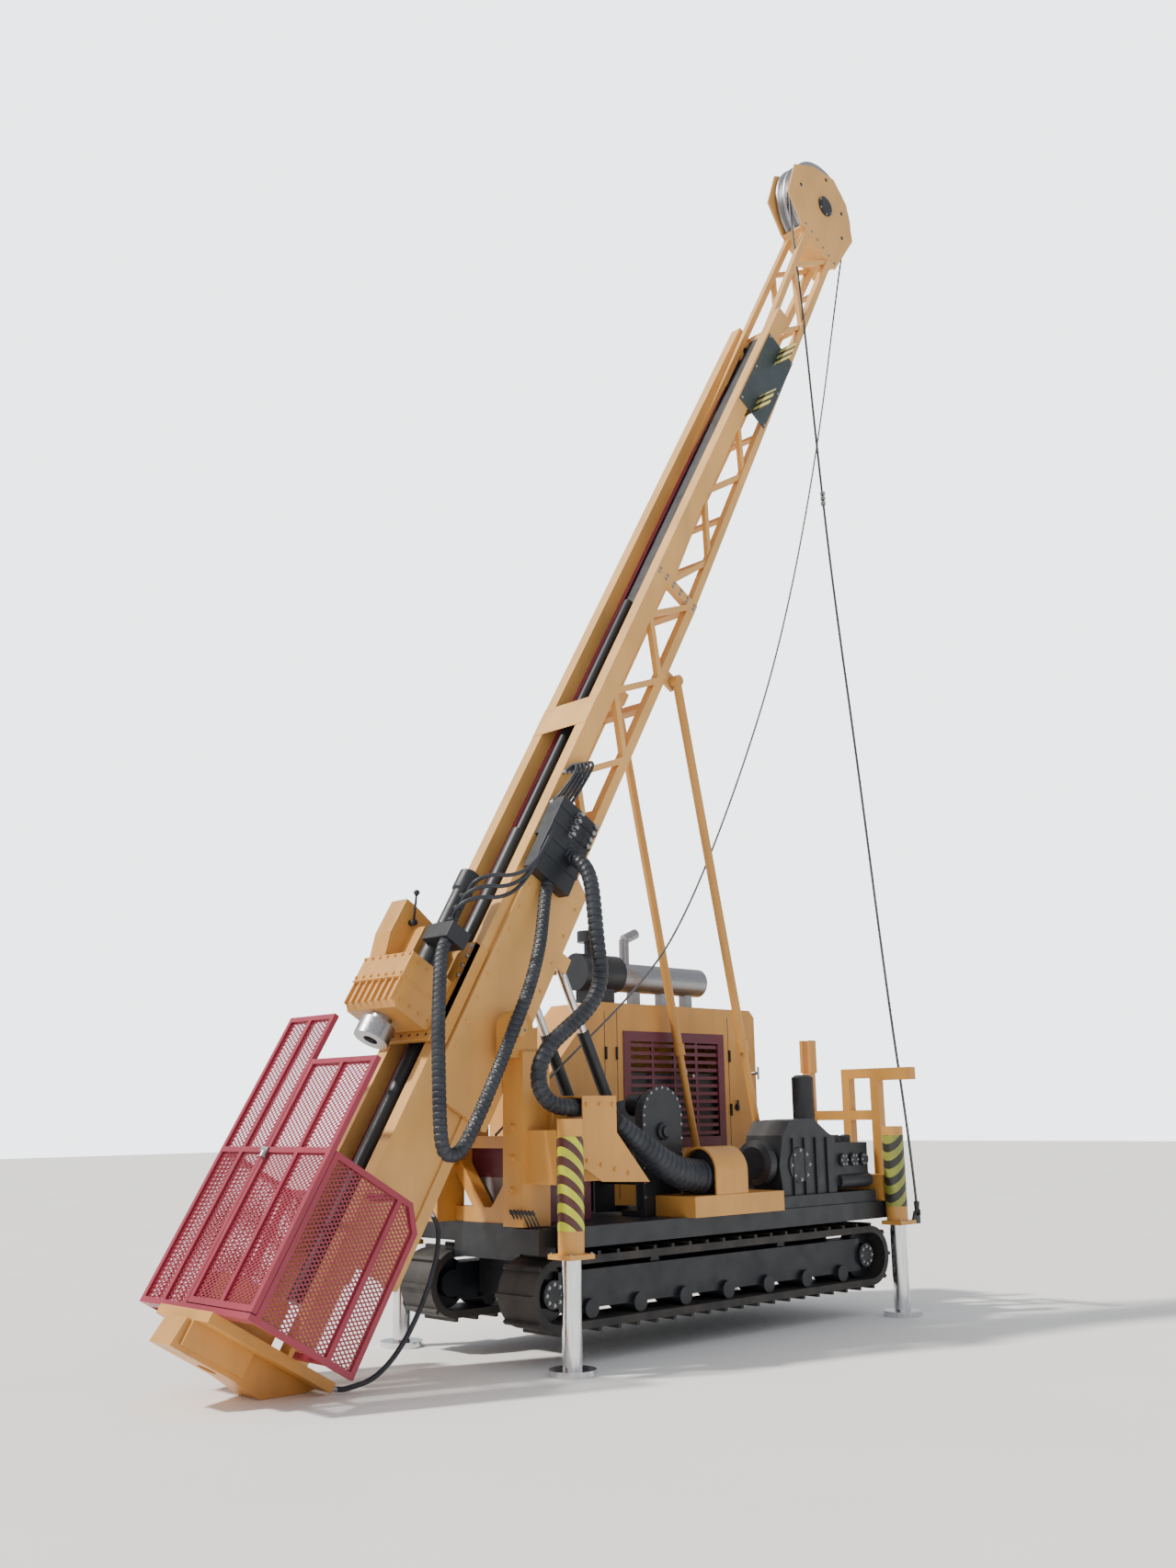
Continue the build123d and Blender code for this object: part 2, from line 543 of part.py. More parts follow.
# Mast foot with its clamp, below the rails
with BuildPart() as mast_foot:
    block(-2150, -1200, -300, 300, FOOT_END - 60, FOOT_END)
    for side in (-1, 1):
        block(-2150, -1700, side * 120, side * 150, FOOT_END - 200, FOOT_END - 60)
    with BuildSketch(Plane.XZ.offset(-120)):
        with BuildLine():
            Polyline(
                (-2200, -850), (-2180, -680), (-1200, -680), (-1240, -714), (-1510, -870),
                (-1740, -850), close=True,
            )
        make_face()
    extrude(amount=240)
    block(-2040, -1650, -200, 200, FOOT_END, FOOT_END + 260)
    with Locations((ROD_N, 0, FOOT_END)):
        Cylinder(60, 900, mode=Mode.SUBTRACT)
save(mast_foot, "mast_foot", MAST)

# Guard: far front panel, mid bar, near and far sides
with BuildPart() as guard:
    bar = GUARD_BAR
    front0, front1 = GUARD_FRONT, GUARD_FRONT + bar
    for y0 in (DOOR_EDGE, 340, GUARD_HALF - bar):
        block(front0, front1, y0, y0 + bar, GUARD_BOTTOM, GUARD_TOP)
    for m0 in (GUARD_MID, GUARD_TOP - bar):
        block(front0, front1, DOOR_EDGE, GUARD_HALF, m0, m0 + bar)
    block(front0, front1 + bar, -GUARD_HALF, GUARD_HALF, GUARD_BOTTOM, GUARD_BOTTOM + bar)
    for side in (-1, 1):
        y0, y1 = side * (GUARD_HALF - bar), side * GUARD_HALF
        inner = front1 + 4 if side < 0 else front0
        block(inner, GUARD_BACK, y0, y1, GUARD_BOTTOM, GUARD_BOTTOM + bar)
        block(inner, GUARD_BACK - 120, y0, y1, GUARD_MID, GUARD_MID + bar)
        block(GUARD_BACK - bar, GUARD_BACK, y0, y1, GUARD_BOTTOM, GUARD_MID - 100)
        strut((GUARD_BACK - 130, side * (GUARD_HALF - bar / 2), GUARD_MID + 18), (GUARD_BACK - 18, side * (GUARD_HALF - bar / 2), GUARD_MID - 110), bar)
        block(inner, inner + bar, y0, y1, GUARD_BOTTOM, GUARD_MID)
        block(BRACE_N, BRACE_N + bar, y0, side * MAST_HALF, GUARD_BOTTOM, GUARD_BOTTOM + bar)
        block(BRACE_N, BRACE_N + bar, y0, side * MAST_HALF, GUARD_MID, GUARD_MID + bar)
        block(BRACE_N, BRACE_N + bar, y0, y1, GUARD_BOTTOM, GUARD_MID)
save(guard, "guard", MAST)

with BuildPart() as guard_door:
    for y0 in (-GUARD_HALF, -GUARD_HALF + 330, DOOR_EDGE - bar - 6):
        block(front0, front1, y0, y0 + bar, GUARD_BOTTOM + bar + 6, DOOR_TOP)
    for m0 in (GUARD_BOTTOM + bar + 6, GUARD_MID, DOOR_TOP - bar):
        block(front0, front1, -GUARD_HALF, DOOR_EDGE - 6, m0, m0 + bar)
save(guard_door, "guard_door", MAST)

# Back stays: rods on one foot shaft, tubes on one top pin
STAY_TOP = mast_point(STAY_TOP_M, STAY_TOP_N)
STAY_RUN = Vector(STAY_TOP[0] - STAY_FOOT[0], 0, STAY_TOP[1] - STAY_FOOT[1])
STAY_AXIS = STAY_RUN.normalized()


def along_stay(distance, y):
    """Point on a stay's centre line at a distance from its foot."""
    return (STAY_FOOT[0] + STAY_AXIS.X * distance, y, STAY_FOOT[1] + STAY_AXIS.Z * distance)


TUBE_START = 1060
with BuildPart() as stay_rods:
    rod((STAY_FOOT[0], -STAY_Y, STAY_FOOT[1]), (STAY_FOOT[0], STAY_Y, STAY_FOOT[1]), 28)
    for side in (-1, 1):
        rod(along_stay(0, side * STAY_Y), along_stay(2600, side * STAY_Y), 29)
save(stay_rods, "stay_rods", BASE)

with BuildPart() as stay_tubes:
    for side in (-1, 1):
        rod(along_stay(TUBE_START, side * STAY_Y), along_stay(STAY_RUN.length, side * STAY_Y), 36)
        rod((STAY_TOP[0], side * (STAY_Y - 36), STAY_TOP[1]), (STAY_TOP[0], side * (STAY_Y + 36), STAY_TOP[1]), 44)
        rod(along_stay(TUBE_START, side * STAY_Y), along_stay(TUBE_START + 90, side * STAY_Y), 46)
    for side in (-1, 1):
        rod(along_stay(TUBE_START - 10, side * STAY_Y), along_stay(STAY_RUN.length - 120, side * STAY_Y), 31, mode=Mode.SUBTRACT)
save(stay_tubes, "stay_tubes", BASE)
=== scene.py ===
"""Looks of the crawler-mounted core drilling rig, in metres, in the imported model's frame.

Most of the rig keeps its solids. The crown, drill head, winch case and mud pump get fuller
forms here, and the rig gets its ropes, hoses, mesh, bolts, stripes and finishes.
"""
import json
from math import cos, pi, radians, sin

import bmesh
import bpy
from mathutils import Matrix, Vector


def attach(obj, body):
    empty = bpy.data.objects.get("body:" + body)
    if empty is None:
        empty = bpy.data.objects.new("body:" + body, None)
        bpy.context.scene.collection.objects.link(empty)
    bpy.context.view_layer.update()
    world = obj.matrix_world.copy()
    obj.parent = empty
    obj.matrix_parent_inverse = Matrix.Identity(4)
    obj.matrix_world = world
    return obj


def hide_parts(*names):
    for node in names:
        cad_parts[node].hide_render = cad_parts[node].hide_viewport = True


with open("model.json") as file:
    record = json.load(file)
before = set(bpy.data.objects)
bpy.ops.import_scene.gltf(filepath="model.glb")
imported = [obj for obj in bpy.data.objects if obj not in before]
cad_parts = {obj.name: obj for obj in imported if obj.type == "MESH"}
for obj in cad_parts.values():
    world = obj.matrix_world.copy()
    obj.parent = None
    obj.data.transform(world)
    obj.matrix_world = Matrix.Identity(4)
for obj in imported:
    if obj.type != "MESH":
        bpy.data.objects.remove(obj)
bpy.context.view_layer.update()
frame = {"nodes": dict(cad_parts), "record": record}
nodes = frame["nodes"]
scene = bpy.context.scene

# Where the mast stands: local X is depth behind the rods, Y across, Z along the mast
JACK_LINE_X = -1.290
MAST_LEAN = radians(60)
MAST_FRAME = Matrix.Translation((JACK_LINE_X, 0, 0)) @ Matrix.Rotation(pi / 2 - MAST_LEAN, 4, "Y")
BASE_FRAME = Matrix.Translation((JACK_LINE_X, 0, 0))


def on_mast(n, y, m):
    """Point of the row frame from its depth, width and height on the mast."""
    return MAST_FRAME @ Vector((n, y, m))


def on_base(x, y, z):
    """Point of the row frame from its distance behind the front jacks."""
    return BASE_FRAME @ Vector((x, y, z))


# Camera: standing in front of the near front jack, looking up along the mast
CAMERA_PLACE = (-7.7468, -7.8194, 1.57)
CAMERA_RIGHT = Vector((0.72330, -0.69037, -0.01426))
CAMERA_DOWN = Vector((0.14551, 0.17258, -0.97419))
FOCAL_PIXELS = 1559.09
PHOTO_HEIGHT = 1706
SENSOR = 36.0

camera_data = bpy.data.cameras.new("camera")
camera = bpy.data.objects.new("camera", camera_data)
scene.collection.objects.link(camera)
look = CAMERA_RIGHT.cross(CAMERA_DOWN).normalized()
turn = Matrix((CAMERA_RIGHT, -CAMERA_DOWN, -look)).transposed().to_4x4()
camera.matrix_world = Matrix.Translation(CAMERA_PLACE) @ turn
camera_data.sensor_width = SENSOR
camera_data.lens = FOCAL_PIXELS / PHOTO_HEIGHT * SENSOR
camera_data.clip_end = 200
scene.camera = camera


# Finishes
def new_material(name):
    """A material with its node tree, shader and coordinates."""
    made = bpy.data.materials.new(name)
    made.use_nodes = True
    tree = made.node_tree
    shader = tree.nodes["Principled BSDF"]
    place = tree.nodes.new("ShaderNodeTexCoord")
    return made, tree, shader, place.outputs["Object"]


def noise(tree, place, scale, detail=4.0, stretch=(1, 1, 1)):
    """Noise value over the object's own coordinates."""
    mapping = tree.nodes.new("ShaderNodeMapping")
    mapping.inputs["Scale"].default_value = stretch
    texture = tree.nodes.new("ShaderNodeTexNoise")
    texture.inputs["Scale"].default_value = scale
    texture.inputs["Detail"].default_value = detail
    tree.links.new(place, mapping.inputs["Vector"])
    tree.links.new(mapping.outputs["Vector"], texture.inputs["Vector"])
    return texture.outputs["Fac"]


def ramp(tree, value, stops):
    """Colour along a value; stops are (position, colour)."""
    node = tree.nodes.new("ShaderNodeValToRGB")
    node.color_ramp.elements[0].position = stops[0][0]
    node.color_ramp.elements[0].color = (*stops[0][1], 1)
    node.color_ramp.elements[1].position = stops[-1][0]
    node.color_ramp.elements[1].color = (*stops[-1][1], 1)
    tree.links.new(value, node.inputs["Fac"])
    return node.outputs["Color"]


def mix(tree, share, first, second):
    """Two colours blended by a value."""
    node = tree.nodes.new("ShaderNodeMix")
    node.data_type = "RGBA"
    tree.links.new(share, node.inputs["Factor"])
    for socket, colour in ((node.inputs["A"], first), (node.inputs["B"], second)):
        if isinstance(colour, tuple):
            socket.default_value = (*colour, 1)
        else:
            tree.links.new(colour, socket)
    return node.outputs["Result"]


def scaled(tree, value, low, high):
    """A noise value brought between two limits."""
    node = tree.nodes.new("ShaderNodeMapRange")
    node.inputs["From Min"].default_value = 0.3
    node.inputs["From Max"].default_value = 0.7
    node.inputs["To Min"].default_value = low
    node.inputs["To Max"].default_value = high
    tree.links.new(value, node.inputs["Value"])
    return node.outputs["Result"]


def bump(tree, shader, value, strength, distance):
    """Small relief from a value."""
    node = tree.nodes.new("ShaderNodeBump")
    node.inputs["Strength"].default_value = strength
    node.inputs["Distance"].default_value = distance
    tree.links.new(value, node.inputs["Height"])
    tree.links.new(node.outputs["Normal"], shader.inputs["Normal"])


def tint(colour, amount):
    """A colour made lighter or darker."""
    return tuple(min(1.0, part * amount) for part in colour)


def painted(name, colour, rough=0.4, dirt=0.25, grime=(0.10, 0.075, 0.05)):
    """Sprayed machine paint: faded patches, rain streaks, fine orange peel."""
    made, tree, shader, place = new_material(name)
    fade = ramp(tree, noise(tree, place, 1.4), [(0.35, tint(colour, 0.9)), (0.65, tint(colour, 1.08))])
    streaks = noise(tree, place, 5.0, 6.0, (1, 1, 0.12))
    share = scaled(tree, streaks, 0.0, dirt)
    tree.links.new(mix(tree, share, fade, grime), shader.inputs["Base Color"])
    uneven = scaled(tree, noise(tree, place, 9.0), rough - 0.08, rough + 0.1)
    tree.links.new(uneven, shader.inputs["Roughness"])
    bump(tree, shader, noise(tree, place, 180.0, 2.0), 0.12, 0.001)
    return made


def metal(name, colour, rough, streak=(1, 1, 1), amount=0.2):
    """Bare metal with fine marks along it and uneven polish."""
    made, tree, shader, place = new_material(name)
    shader.inputs["Metallic"].default_value = 1.0
    marks = noise(tree, place, 60.0, 5.0, streak)
    shade = ramp(tree, marks, [(0.3, tint(colour, 0.8)), (0.7, tint(colour, 1.1))])
    tree.links.new(shade, shader.inputs["Base Color"])
    polish = scaled(tree, marks, rough - amount / 2, rough + amount / 2)
    tree.links.new(polish, shader.inputs["Roughness"])
    bump(tree, shader, marks, 0.08, 0.0006)
    return made


def rubber(name, colour, rough=0.5):
    """Black hose rubber with a dusty bloom."""
    made, tree, shader, place = new_material(name)
    dust = scaled(tree, noise(tree, place, 7.0, 6.0), 0.0, 0.3)
    tree.links.new(mix(tree, dust, colour, (0.09, 0.10, 0.12)), shader.inputs["Base Color"])
    uneven = scaled(tree, noise(tree, place, 22.0), rough - 0.12, rough + 0.12)
    tree.links.new(uneven, shader.inputs["Roughness"])
    bump(tree, shader, noise(tree, place, 240.0, 2.0), 0.2, 0.0008)
    return made


YELLOW = (0.68, 0.325, 0.070)
LIGHT_YELLOW = (0.78, 0.42, 0.125)
MAROON = (0.30, 0.022, 0.050)
DEEP_MAROON = (0.13, 0.012, 0.035)
BLACK = (0.012, 0.015, 0.021)
DARK_GRIME = (0.035, 0.035, 0.036)

yellow = painted("yellow_paint", YELLOW)
mast_yellow = painted("mast_paint", LIGHT_YELLOW, dirt=0.15)
maroon = painted("guard_paint", MAROON, rough=0.35, dirt=0.1)
grille_red = painted("grille_paint", DEEP_MAROON, rough=0.4, dirt=0.2)
black = painted("black_paint", BLACK, rough=0.42, dirt=0.3, grime=DARK_GRIME)
slate = painted("slate_paint", (0.028, 0.050, 0.062), rough=0.4, dirt=0.15)
track_steel = painted(
    "track_steel", (0.018, 0.019, 0.022), rough=0.6, dirt=0.6, grime=(0.085, 0.07, 0.055),
)
silencer = metal("silencer", (0.34, 0.34, 0.36), 0.42)
chrome = metal("chrome_rod", (0.72, 0.73, 0.75), 0.16, (1, 1, 0.1), 0.1)
steel = metal("rod_steel", (0.42, 0.42, 0.44), 0.38)
hose_rubber = rubber("hose_rubber", (0.010, 0.013, 0.020))
tank_grey = painted("tank_paint", (0.24, 0.22, 0.24), rough=0.4, dirt=0.2)
rope_steel = metal("rope_steel", (0.14, 0.14, 0.15), 0.5, (1, 1, 1), 0.15)

FINISH = {
    "track_steel": track_steel,
    "yellow_paint": yellow,
    "mast_paint": mast_yellow,
    "guard_paint": maroon,
    "grille_paint": grille_red,
    "black_paint": black,
    "slate_paint": slate,
    "chrome_rod": chrome,
    "silencer": silencer,
    "cast": black,
    "rod_steel": steel,
}
SLOT_OF = {part["node"]: part["material_slot"] for part in frame["record"]["subparts"]}
for name, solid in nodes.items():
    solid.data.materials.clear()
    solid.data.materials.append(FINISH[SLOT_OF[name]])

# Folded and cut plate has softly broken edges
for name in (
    "hood", "front_frame", "rear_frame", "rear_outriggers", "tilt_frame", "wireline_housing",
    "front_tank", "mast_foot", "lower_mast", "upper_mast",
):
    folds = nodes[name].modifiers.new("folds", "BEVEL")
    folds.width = 0.004
    folds.segments = 2
    folds.limit_method = "ANGLE"
    folds.angle_limit = radians(40)


# Building pieces
def add_piece(name, mesh, material, body, place=None, smooth=False):
    """A mesh as a named piece of the rig, riding on a body."""
    data = bpy.data.meshes.new(name)
    mesh.to_mesh(data)
    mesh.free()
    data.materials.append(material)
    for face in data.polygons:
        face.use_smooth = smooth
    piece = bpy.data.objects.new(name, data)
    scene.collection.objects.link(piece)
    if place is not None:
        piece.matrix_world = place
    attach(piece, body)
    return piece


def add_bar(mesh, start, end, width, depth=None, about=None):
    """Square bar between two points, added to a mesh."""
    start, end = Vector(start), Vector(end)
    run = end - start
    upright = abs(run.z) > 0.9 * run.length
    side = Vector(about) if about else Vector((1, 0, 0) if upright else (0, 0, 1))
    across = run.cross(side).normalized() * width / 2
    up = across.cross(run).normalized() * (depth or width) / 2
    corners = ((-1, -1), (1, -1), (1, 1), (-1, 1))
    low, high = [
        [mesh.verts.new(point + across * a + up * b) for a, b in corners] for point in (start, end)
    ]
    for corner in range(4):
        after = (corner + 1) % 4
        mesh.faces.new((low[corner], low[after], high[after], high[corner]))
    mesh.faces.new(low[::-1])
    mesh.faces.new(high)


def add_disc(mesh, centre, axis, radius, height, sides=24, top_radius=None):
    """Round block standing on a centre along an axis, added to a mesh."""
    spin = Vector(axis).to_track_quat("Z", "Y").to_matrix().to_4x4()
    place = Matrix.Translation(Vector(centre) + Vector(axis).normalized() * height / 2) @ spin
    bmesh.ops.create_cone(
        mesh, cap_ends=True, segments=sides, radius1=radius,
        radius2=radius if top_radius is None else top_radius, depth=height, matrix=place,
    )


def line_points(points, steps):
    """Points along the smooth line through a route's control points."""
    curve = bpy.data.curves.new("route", "CURVE")
    curve.dimensions = "3D"
    spline = curve.splines.new("NURBS")
    spline.points.add(len(points) - 1)
    for target, point in zip(spline.points, points):
        target.co = (*point, 1)
    spline.order_u = 3
    spline.use_endpoint_u = True
    curve.resolution_u = steps
    holder = bpy.data.objects.new("route", curve)
    mesh = bpy.data.meshes.new_from_object(holder)
    found = [vertex.co.copy() for vertex in mesh.vertices]
    bpy.data.objects.remove(holder)
    bpy.data.meshes.remove(mesh)
    bpy.data.curves.remove(curve)
    return found


def even_points(line, pitch):
    """Points at an even pitch along a line, with the line's length."""
    travelled = [0.0]
    for first, second in zip(line, line[1:]):
        travelled.append(travelled[-1] + (second - first).length)
    count = max(8, round(travelled[-1] / pitch))
    found = []
    index = 0
    for step in range(count):
        want = travelled[-1] * step / count
        while travelled[index + 1] < want:
            index += 1
        share = (want - travelled[index]) / (travelled[index + 1] - travelled[index])
        found.append(line[index].lerp(line[index + 1], share))
    return found + [line[-1]], travelled[-1]


def tube_mesh(points, radius_at, sides=16):
    """Closed tube along points; radius_at gives the radius from distance and angle."""
    mesh = bmesh.new()
    rings = []
    up = Vector((0, 0, 1))
    travelled = 0.0
    for index, point in enumerate(points):
        after = points[min(index + 1, len(points) - 1)]
        before = points[max(index - 1, 0)]
        if index:
            travelled += (point - before).length
        along = (after - before).normalized()
        side = along.cross(up)
        if side.length < 0.2:
            side = along.cross(Vector((1, 0, 0)))
        side = side.normalized()
        up = side.cross(along).normalized()
        ring = []
        for step in range(sides):
            angle = 2 * pi * step / sides
            out = (side * cos(angle) + up * sin(angle)) * radius_at(travelled, angle)
            ring.append(mesh.verts.new(point + out))
        rings.append(ring)
    for first, second in zip(rings, rings[1:]):
        for step in range(sides):
            after = (step + 1) % sides
            mesh.faces.new((first[step], first[after], second[after], second[step]))
    mesh.faces.new(rings[0][::-1])
    mesh.faces.new(rings[-1])
    return mesh


def rope(name, points, radius):
    """Taut wire rope from the mast, its lay showing as a twist along the route."""
    line, _ = even_points(line_points(points, 16), 0.012)
    lay = 14 * radius

    def strands(distance, angle):
        return radius * (0.9 + 0.1 * abs(sin(3 * (angle + 2 * pi * distance / lay) / 2)))

    mesh = tube_mesh(line, strands, 12)
    add_piece(name, mesh, rope_steel, "mast", smooth=True)


# Ropes from the crown: one tied down by the rear jack, one to the front frame
ROPE_R = 0.011
SHEAVE_X, SHEAVE_Z, SHEAVE_R = 4.4310, 10.6746, 0.465
GROOVE_Y = -0.044


def on_sheave(turn):
    """Point where the rope lies on the sheave, from its angle above level."""
    angle = radians(turn)
    return on_base(SHEAVE_X + SHEAVE_R * cos(angle), GROOVE_Y, SHEAVE_Z + SHEAVE_R * sin(angle))


TIE_DOWN = [
    on_sheave(180), on_base(3.955, -0.05, 10.40), on_base(3.94, -0.09, 10.05),
    on_base(3.93, -0.16, 9.27), on_base(3.83, -0.32, 7.60), on_base(3.78, -0.45, 6.20),
    on_base(3.75, -0.62, 4.60), on_base(3.73, -0.80, 2.54), on_base(3.70, -0.95, 1.34),
    on_base(3.705, -0.975, 0.86),
]
FRONT_LINE = [
    on_sheave(-13), on_base(4.82, -0.035, 10.30), on_base(4.75, -0.02, 9.98), on_base(4.24, 0, 7.84),
    on_base(3.55, 0, 5.78), on_base(2.82, 0, 4.28), on_base(2.07, 0, 3.03), on_base(1.52, 0, 2.49),
    on_base(0.65, 0, 1.86), on_base(0.12, 0, 1.445),
]
rope("tie_down_rope", TIE_DOWN, ROPE_R)
rope("front_line_rope", FRONT_LINE, ROPE_R * 0.8)
OVER_SHEAVE = [on_sheave(turn) for turn in range(180, -14, -15)] + [on_sheave(-13)]
rope("sheave_rope", OVER_SHEAVE, ROPE_R)


# Hoses: bundles in a spiral guard, and the smaller ones that are bare
def hose(name, route, radius, guard_pitch):
    """Free hose on the mast along a route, with its real length and thickness."""
    pitch = guard_pitch / 6 if guard_pitch else 0.012
    line, length = even_points(line_points(route, 24), pitch)

    def surface(distance, angle):
        if not guard_pitch:
            return radius
        phase = (distance / guard_pitch + angle / (2 * pi)) % 1.0
        return radius * (0.88 if phase < 0.3 else 1.0)

    piece = add_piece(name, tube_mesh(line, surface, 18), hose_rubber, "mast", smooth=not guard_pitch)
    ends = bmesh.new()
    ferrule = 2.2 * radius
    for point, along in ((line[0], line[1] - line[0]), (line[-1], line[-2] - line[-1])):
        add_disc(ends, point, along, radius * 1.12, ferrule, 20, radius * 1.04)
    fittings = add_piece(f"{name}_ends", ends, steel if radius < 0.03 else black, "mast")


HEAD_ROUTE = [
    # depth behind the mast, width, height along the mast
    (-1.820, -0.312, 2.085), (-1.870, -0.350, 2.090), (-1.898, -0.392, 2.050),
    (-1.900, -0.405, 1.920), (-1.860, -0.480, 1.720),
    (-1.770, -0.560, 1.420), (-1.655, -0.598, 1.180), (-1.530, -0.612, 0.960),
    (-1.440, -0.618, 0.820), (-1.368, -0.618, 0.762), (-1.292, -0.618, 0.800),
    (-1.256, -0.616, 0.905), (-1.250, -0.614, 1.130), (-1.255, -0.612, 1.420),
    (-1.268, -0.608, 1.740), (-1.272, -0.590, 2.060), (-1.282, -0.520, 2.380),
    (-1.310, -0.440, 2.640), (-1.335, -0.400, 2.790), (-1.360, -0.390, 2.920),
    (-1.420, -0.372, 3.060), (-1.450, -0.345, 3.180), (-1.455, -0.318, 3.240),
]
BASE_ROUTE = [
    # depth behind the mast, width, height along the mast
    (-1.460, -0.318, 3.400), (-1.440, -0.345, 3.340), (-1.370, -0.385, 3.240),
    (-1.305, -0.440, 3.150), (-1.290, -0.520, 3.110), (-1.265, -0.620, 3.050),
    (-1.215, -0.692, 2.930), (-1.120, -0.730, 2.740), (-1.005, -0.742, 2.560),
    (-0.885, -0.744, 2.420), (-0.842, -0.744, 2.270), (-0.872, -0.742, 2.100),
    (-0.960, -0.740, 1.920), (-1.045, -0.742, 1.740), (-1.068, -0.744, 1.580),
    (-1.010, -0.742, 1.460), (-0.900, -0.741, 1.408), (-0.785, -0.740, 1.425),
    (-0.700, -0.741, 1.475), (-0.646, -0.740, 1.500), (-0.606, -0.713, 1.523),
    (-0.582, -0.666, 1.537), (-0.582, -0.612, 1.537),
]
FOOT_ROUTE = [
    # depth behind the mast, width, height along the mast
    (-1.060, -0.280, 0.525), (-0.980, -0.290, 0.500), (-0.930, -0.330, 0.360),
    (-0.925, -0.380, 0.180), (-0.935, -0.420, -0.040), (-0.960, -0.440, -0.230),
    (-1.000, -0.440, -0.400), (-1.060, -0.420, -0.530), (-1.120, -0.360, -0.600),
    (-1.160, -0.310, -0.645), (-1.199, -0.280, -0.650),
]
hose("head_hose_bundle", [on_mast(*point) for point in HEAD_ROUTE], 0.045, 0.042)
hose("base_hose_bundle", [on_mast(*point) for point in BASE_ROUTE], 0.055, 0.048)
hose("foot_clamp_hose", [on_mast(*point) for point in FOOT_ROUTE], 0.016, 0)
HEAD_LINES = ((2.24, -1.845, 3.20), (2.34, -1.835, 3.28), (2.44, -1.825, 3.36))
for number, (start_m, start_n, end_m) in enumerate(HEAD_LINES):
    head_line = [
        (start_n, -0.275, start_m), (start_n - 0.05, -0.320, start_m + 0.02),
        (start_n - 0.07, -0.390, start_m + 0.08), (start_n - 0.01, -0.455, start_m + 0.16),
        (start_n + 0.10, -0.490, start_m + 0.22), (start_n + 0.20, -0.500, start_m + 0.34),
        (start_n + 0.26, -0.485, start_m + 0.52), (-1.54, -0.450, end_m - 0.16),
        (-1.52, -0.400, end_m - 0.04), (-1.505, -0.340, end_m), (-1.500, -0.305, end_m + 0.01),
    ]
    hose(f"head_line_{number}", [on_mast(*point) for point in head_line], 0.014, 0)


# Forms over the plain solids: flat plates with a side outline, and round turned pieces
def add_plate(mesh, outline, y0, y1):
    """Plate with an outline of (x, z) points between two widths, added to a mesh."""
    rings = [[mesh.verts.new((x, y, z)) for x, z in outline] for y in (min(y0, y1), max(y0, y1))]
    mesh.faces.new(rings[0][::-1])
    mesh.faces.new(rings[1])
    for index in range(len(outline)):
        after = (index + 1) % len(outline)
        mesh.faces.new((rings[0][index], rings[0][after], rings[1][after], rings[1][index]))


def add_box(mesh, x0, x1, y0, y1, z0, z1):
    """Block between pairs of limits, added to a mesh."""
    add_plate(mesh, [(x0, z0), (x0, z1), (x1, z1), (x1, z0)], y0, y1)


def add_turned(mesh, profile, start, axis, sides=36):
    """Round piece from (distance, radius) points along an axis, added to a mesh."""
    spin = Vector(axis).to_track_quat("Z", "Y").to_matrix()
    rings = []
    for distance, radius in profile:
        ring_points = []
        for step in range(sides):
            turn = 2 * pi * step / sides
            point = spin @ Vector((radius * cos(turn), radius * sin(turn), distance))
            ring_points.append(mesh.verts.new(Vector(start) + point))
        rings.append(ring_points)
    for first, second in zip(rings, rings[1:]):
        for step in range(sides):
            after = (step + 1) % sides
            mesh.faces.new((first[step], first[after], second[after], second[step]))
    mesh.faces.new(rings[0][::-1])
    mesh.faces.new(rings[-1])


def finish_form(name, mesh, material, body, place, chamfer=0.004, stands_for=()):
    """A form with softly broken edges, in place of the plainer solids that it stands for."""
    bmesh.ops.recalc_face_normals(mesh, faces=mesh.faces)
    piece = add_piece(name, mesh, material, body, place)
    edges = piece.modifiers.new("edges", "BEVEL")
    edges.width = chamfer
    edges.segments = 2
    edges.limit_method = "ANGLE"
    edges.angle_limit = radians(40)
    if stands_for:
        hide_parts(*stands_for)
    return piece


# Crown: two side plates, and the sheave with two rope grooves between them
CROWN_OUTLINE = [
    (-1.660, 10.930), (-1.975, 11.080), (-2.045, 11.460), (-1.830, 11.730), (-1.540, 11.910),
    (-1.260, 11.830), (-1.000, 11.520), (-1.060, 10.930),
]
HUB_N, HUB_M = -1.50, 11.46
CROWN_INNER, CROWN_SIDE = 0.120, 0.140
crown = bmesh.new()
for side in (-1, 1):
    add_plate(crown, CROWN_OUTLINE, side * CROWN_INNER, side * CROWN_SIDE)
add_box(crown, -1.640, -1.080, -0.138, 0.138, 10.930, 10.968)
finish_form("crown_plates", crown, mast_yellow, "mast", MAST_FRAME, stands_for=("crown",))
# Thin black discs on the crown plates paint the shade inside their holes
crown_hole_shade_discs = bmesh.new()
for n, m in ((-1.872, 11.332), (-1.626, 11.776), (-1.277, 11.647), (-1.145, 11.384)):
    for side in (-1, 1):
        add_disc(crown_hole_shade_discs, (n, side * 0.1385, m), (0, side, 0), 0.021, 0.0025, 24)
add_piece("crown_hole_shade", crown_hole_shade_discs, black, "mast", MAST_FRAME)
sheave = bmesh.new()
RIM, ROOT, SHAFT_R = 0.498, 0.452, 0.070
SHEAVE_PROFILE = [
    (-0.142, SHAFT_R), (-0.100, SHAFT_R), (-0.100, RIM), (-0.078, RIM), (-0.052, ROOT),
    (-0.036, ROOT), (-0.010, RIM), (0.010, RIM), (0.036, ROOT), (0.052, ROOT), (0.078, RIM),
    (0.100, RIM), (0.100, SHAFT_R), (0.142, SHAFT_R),
]
add_turned(sheave, SHEAVE_PROFILE, (SHEAVE_X, 0, SHEAVE_Z), (0, 1, 0), 96)
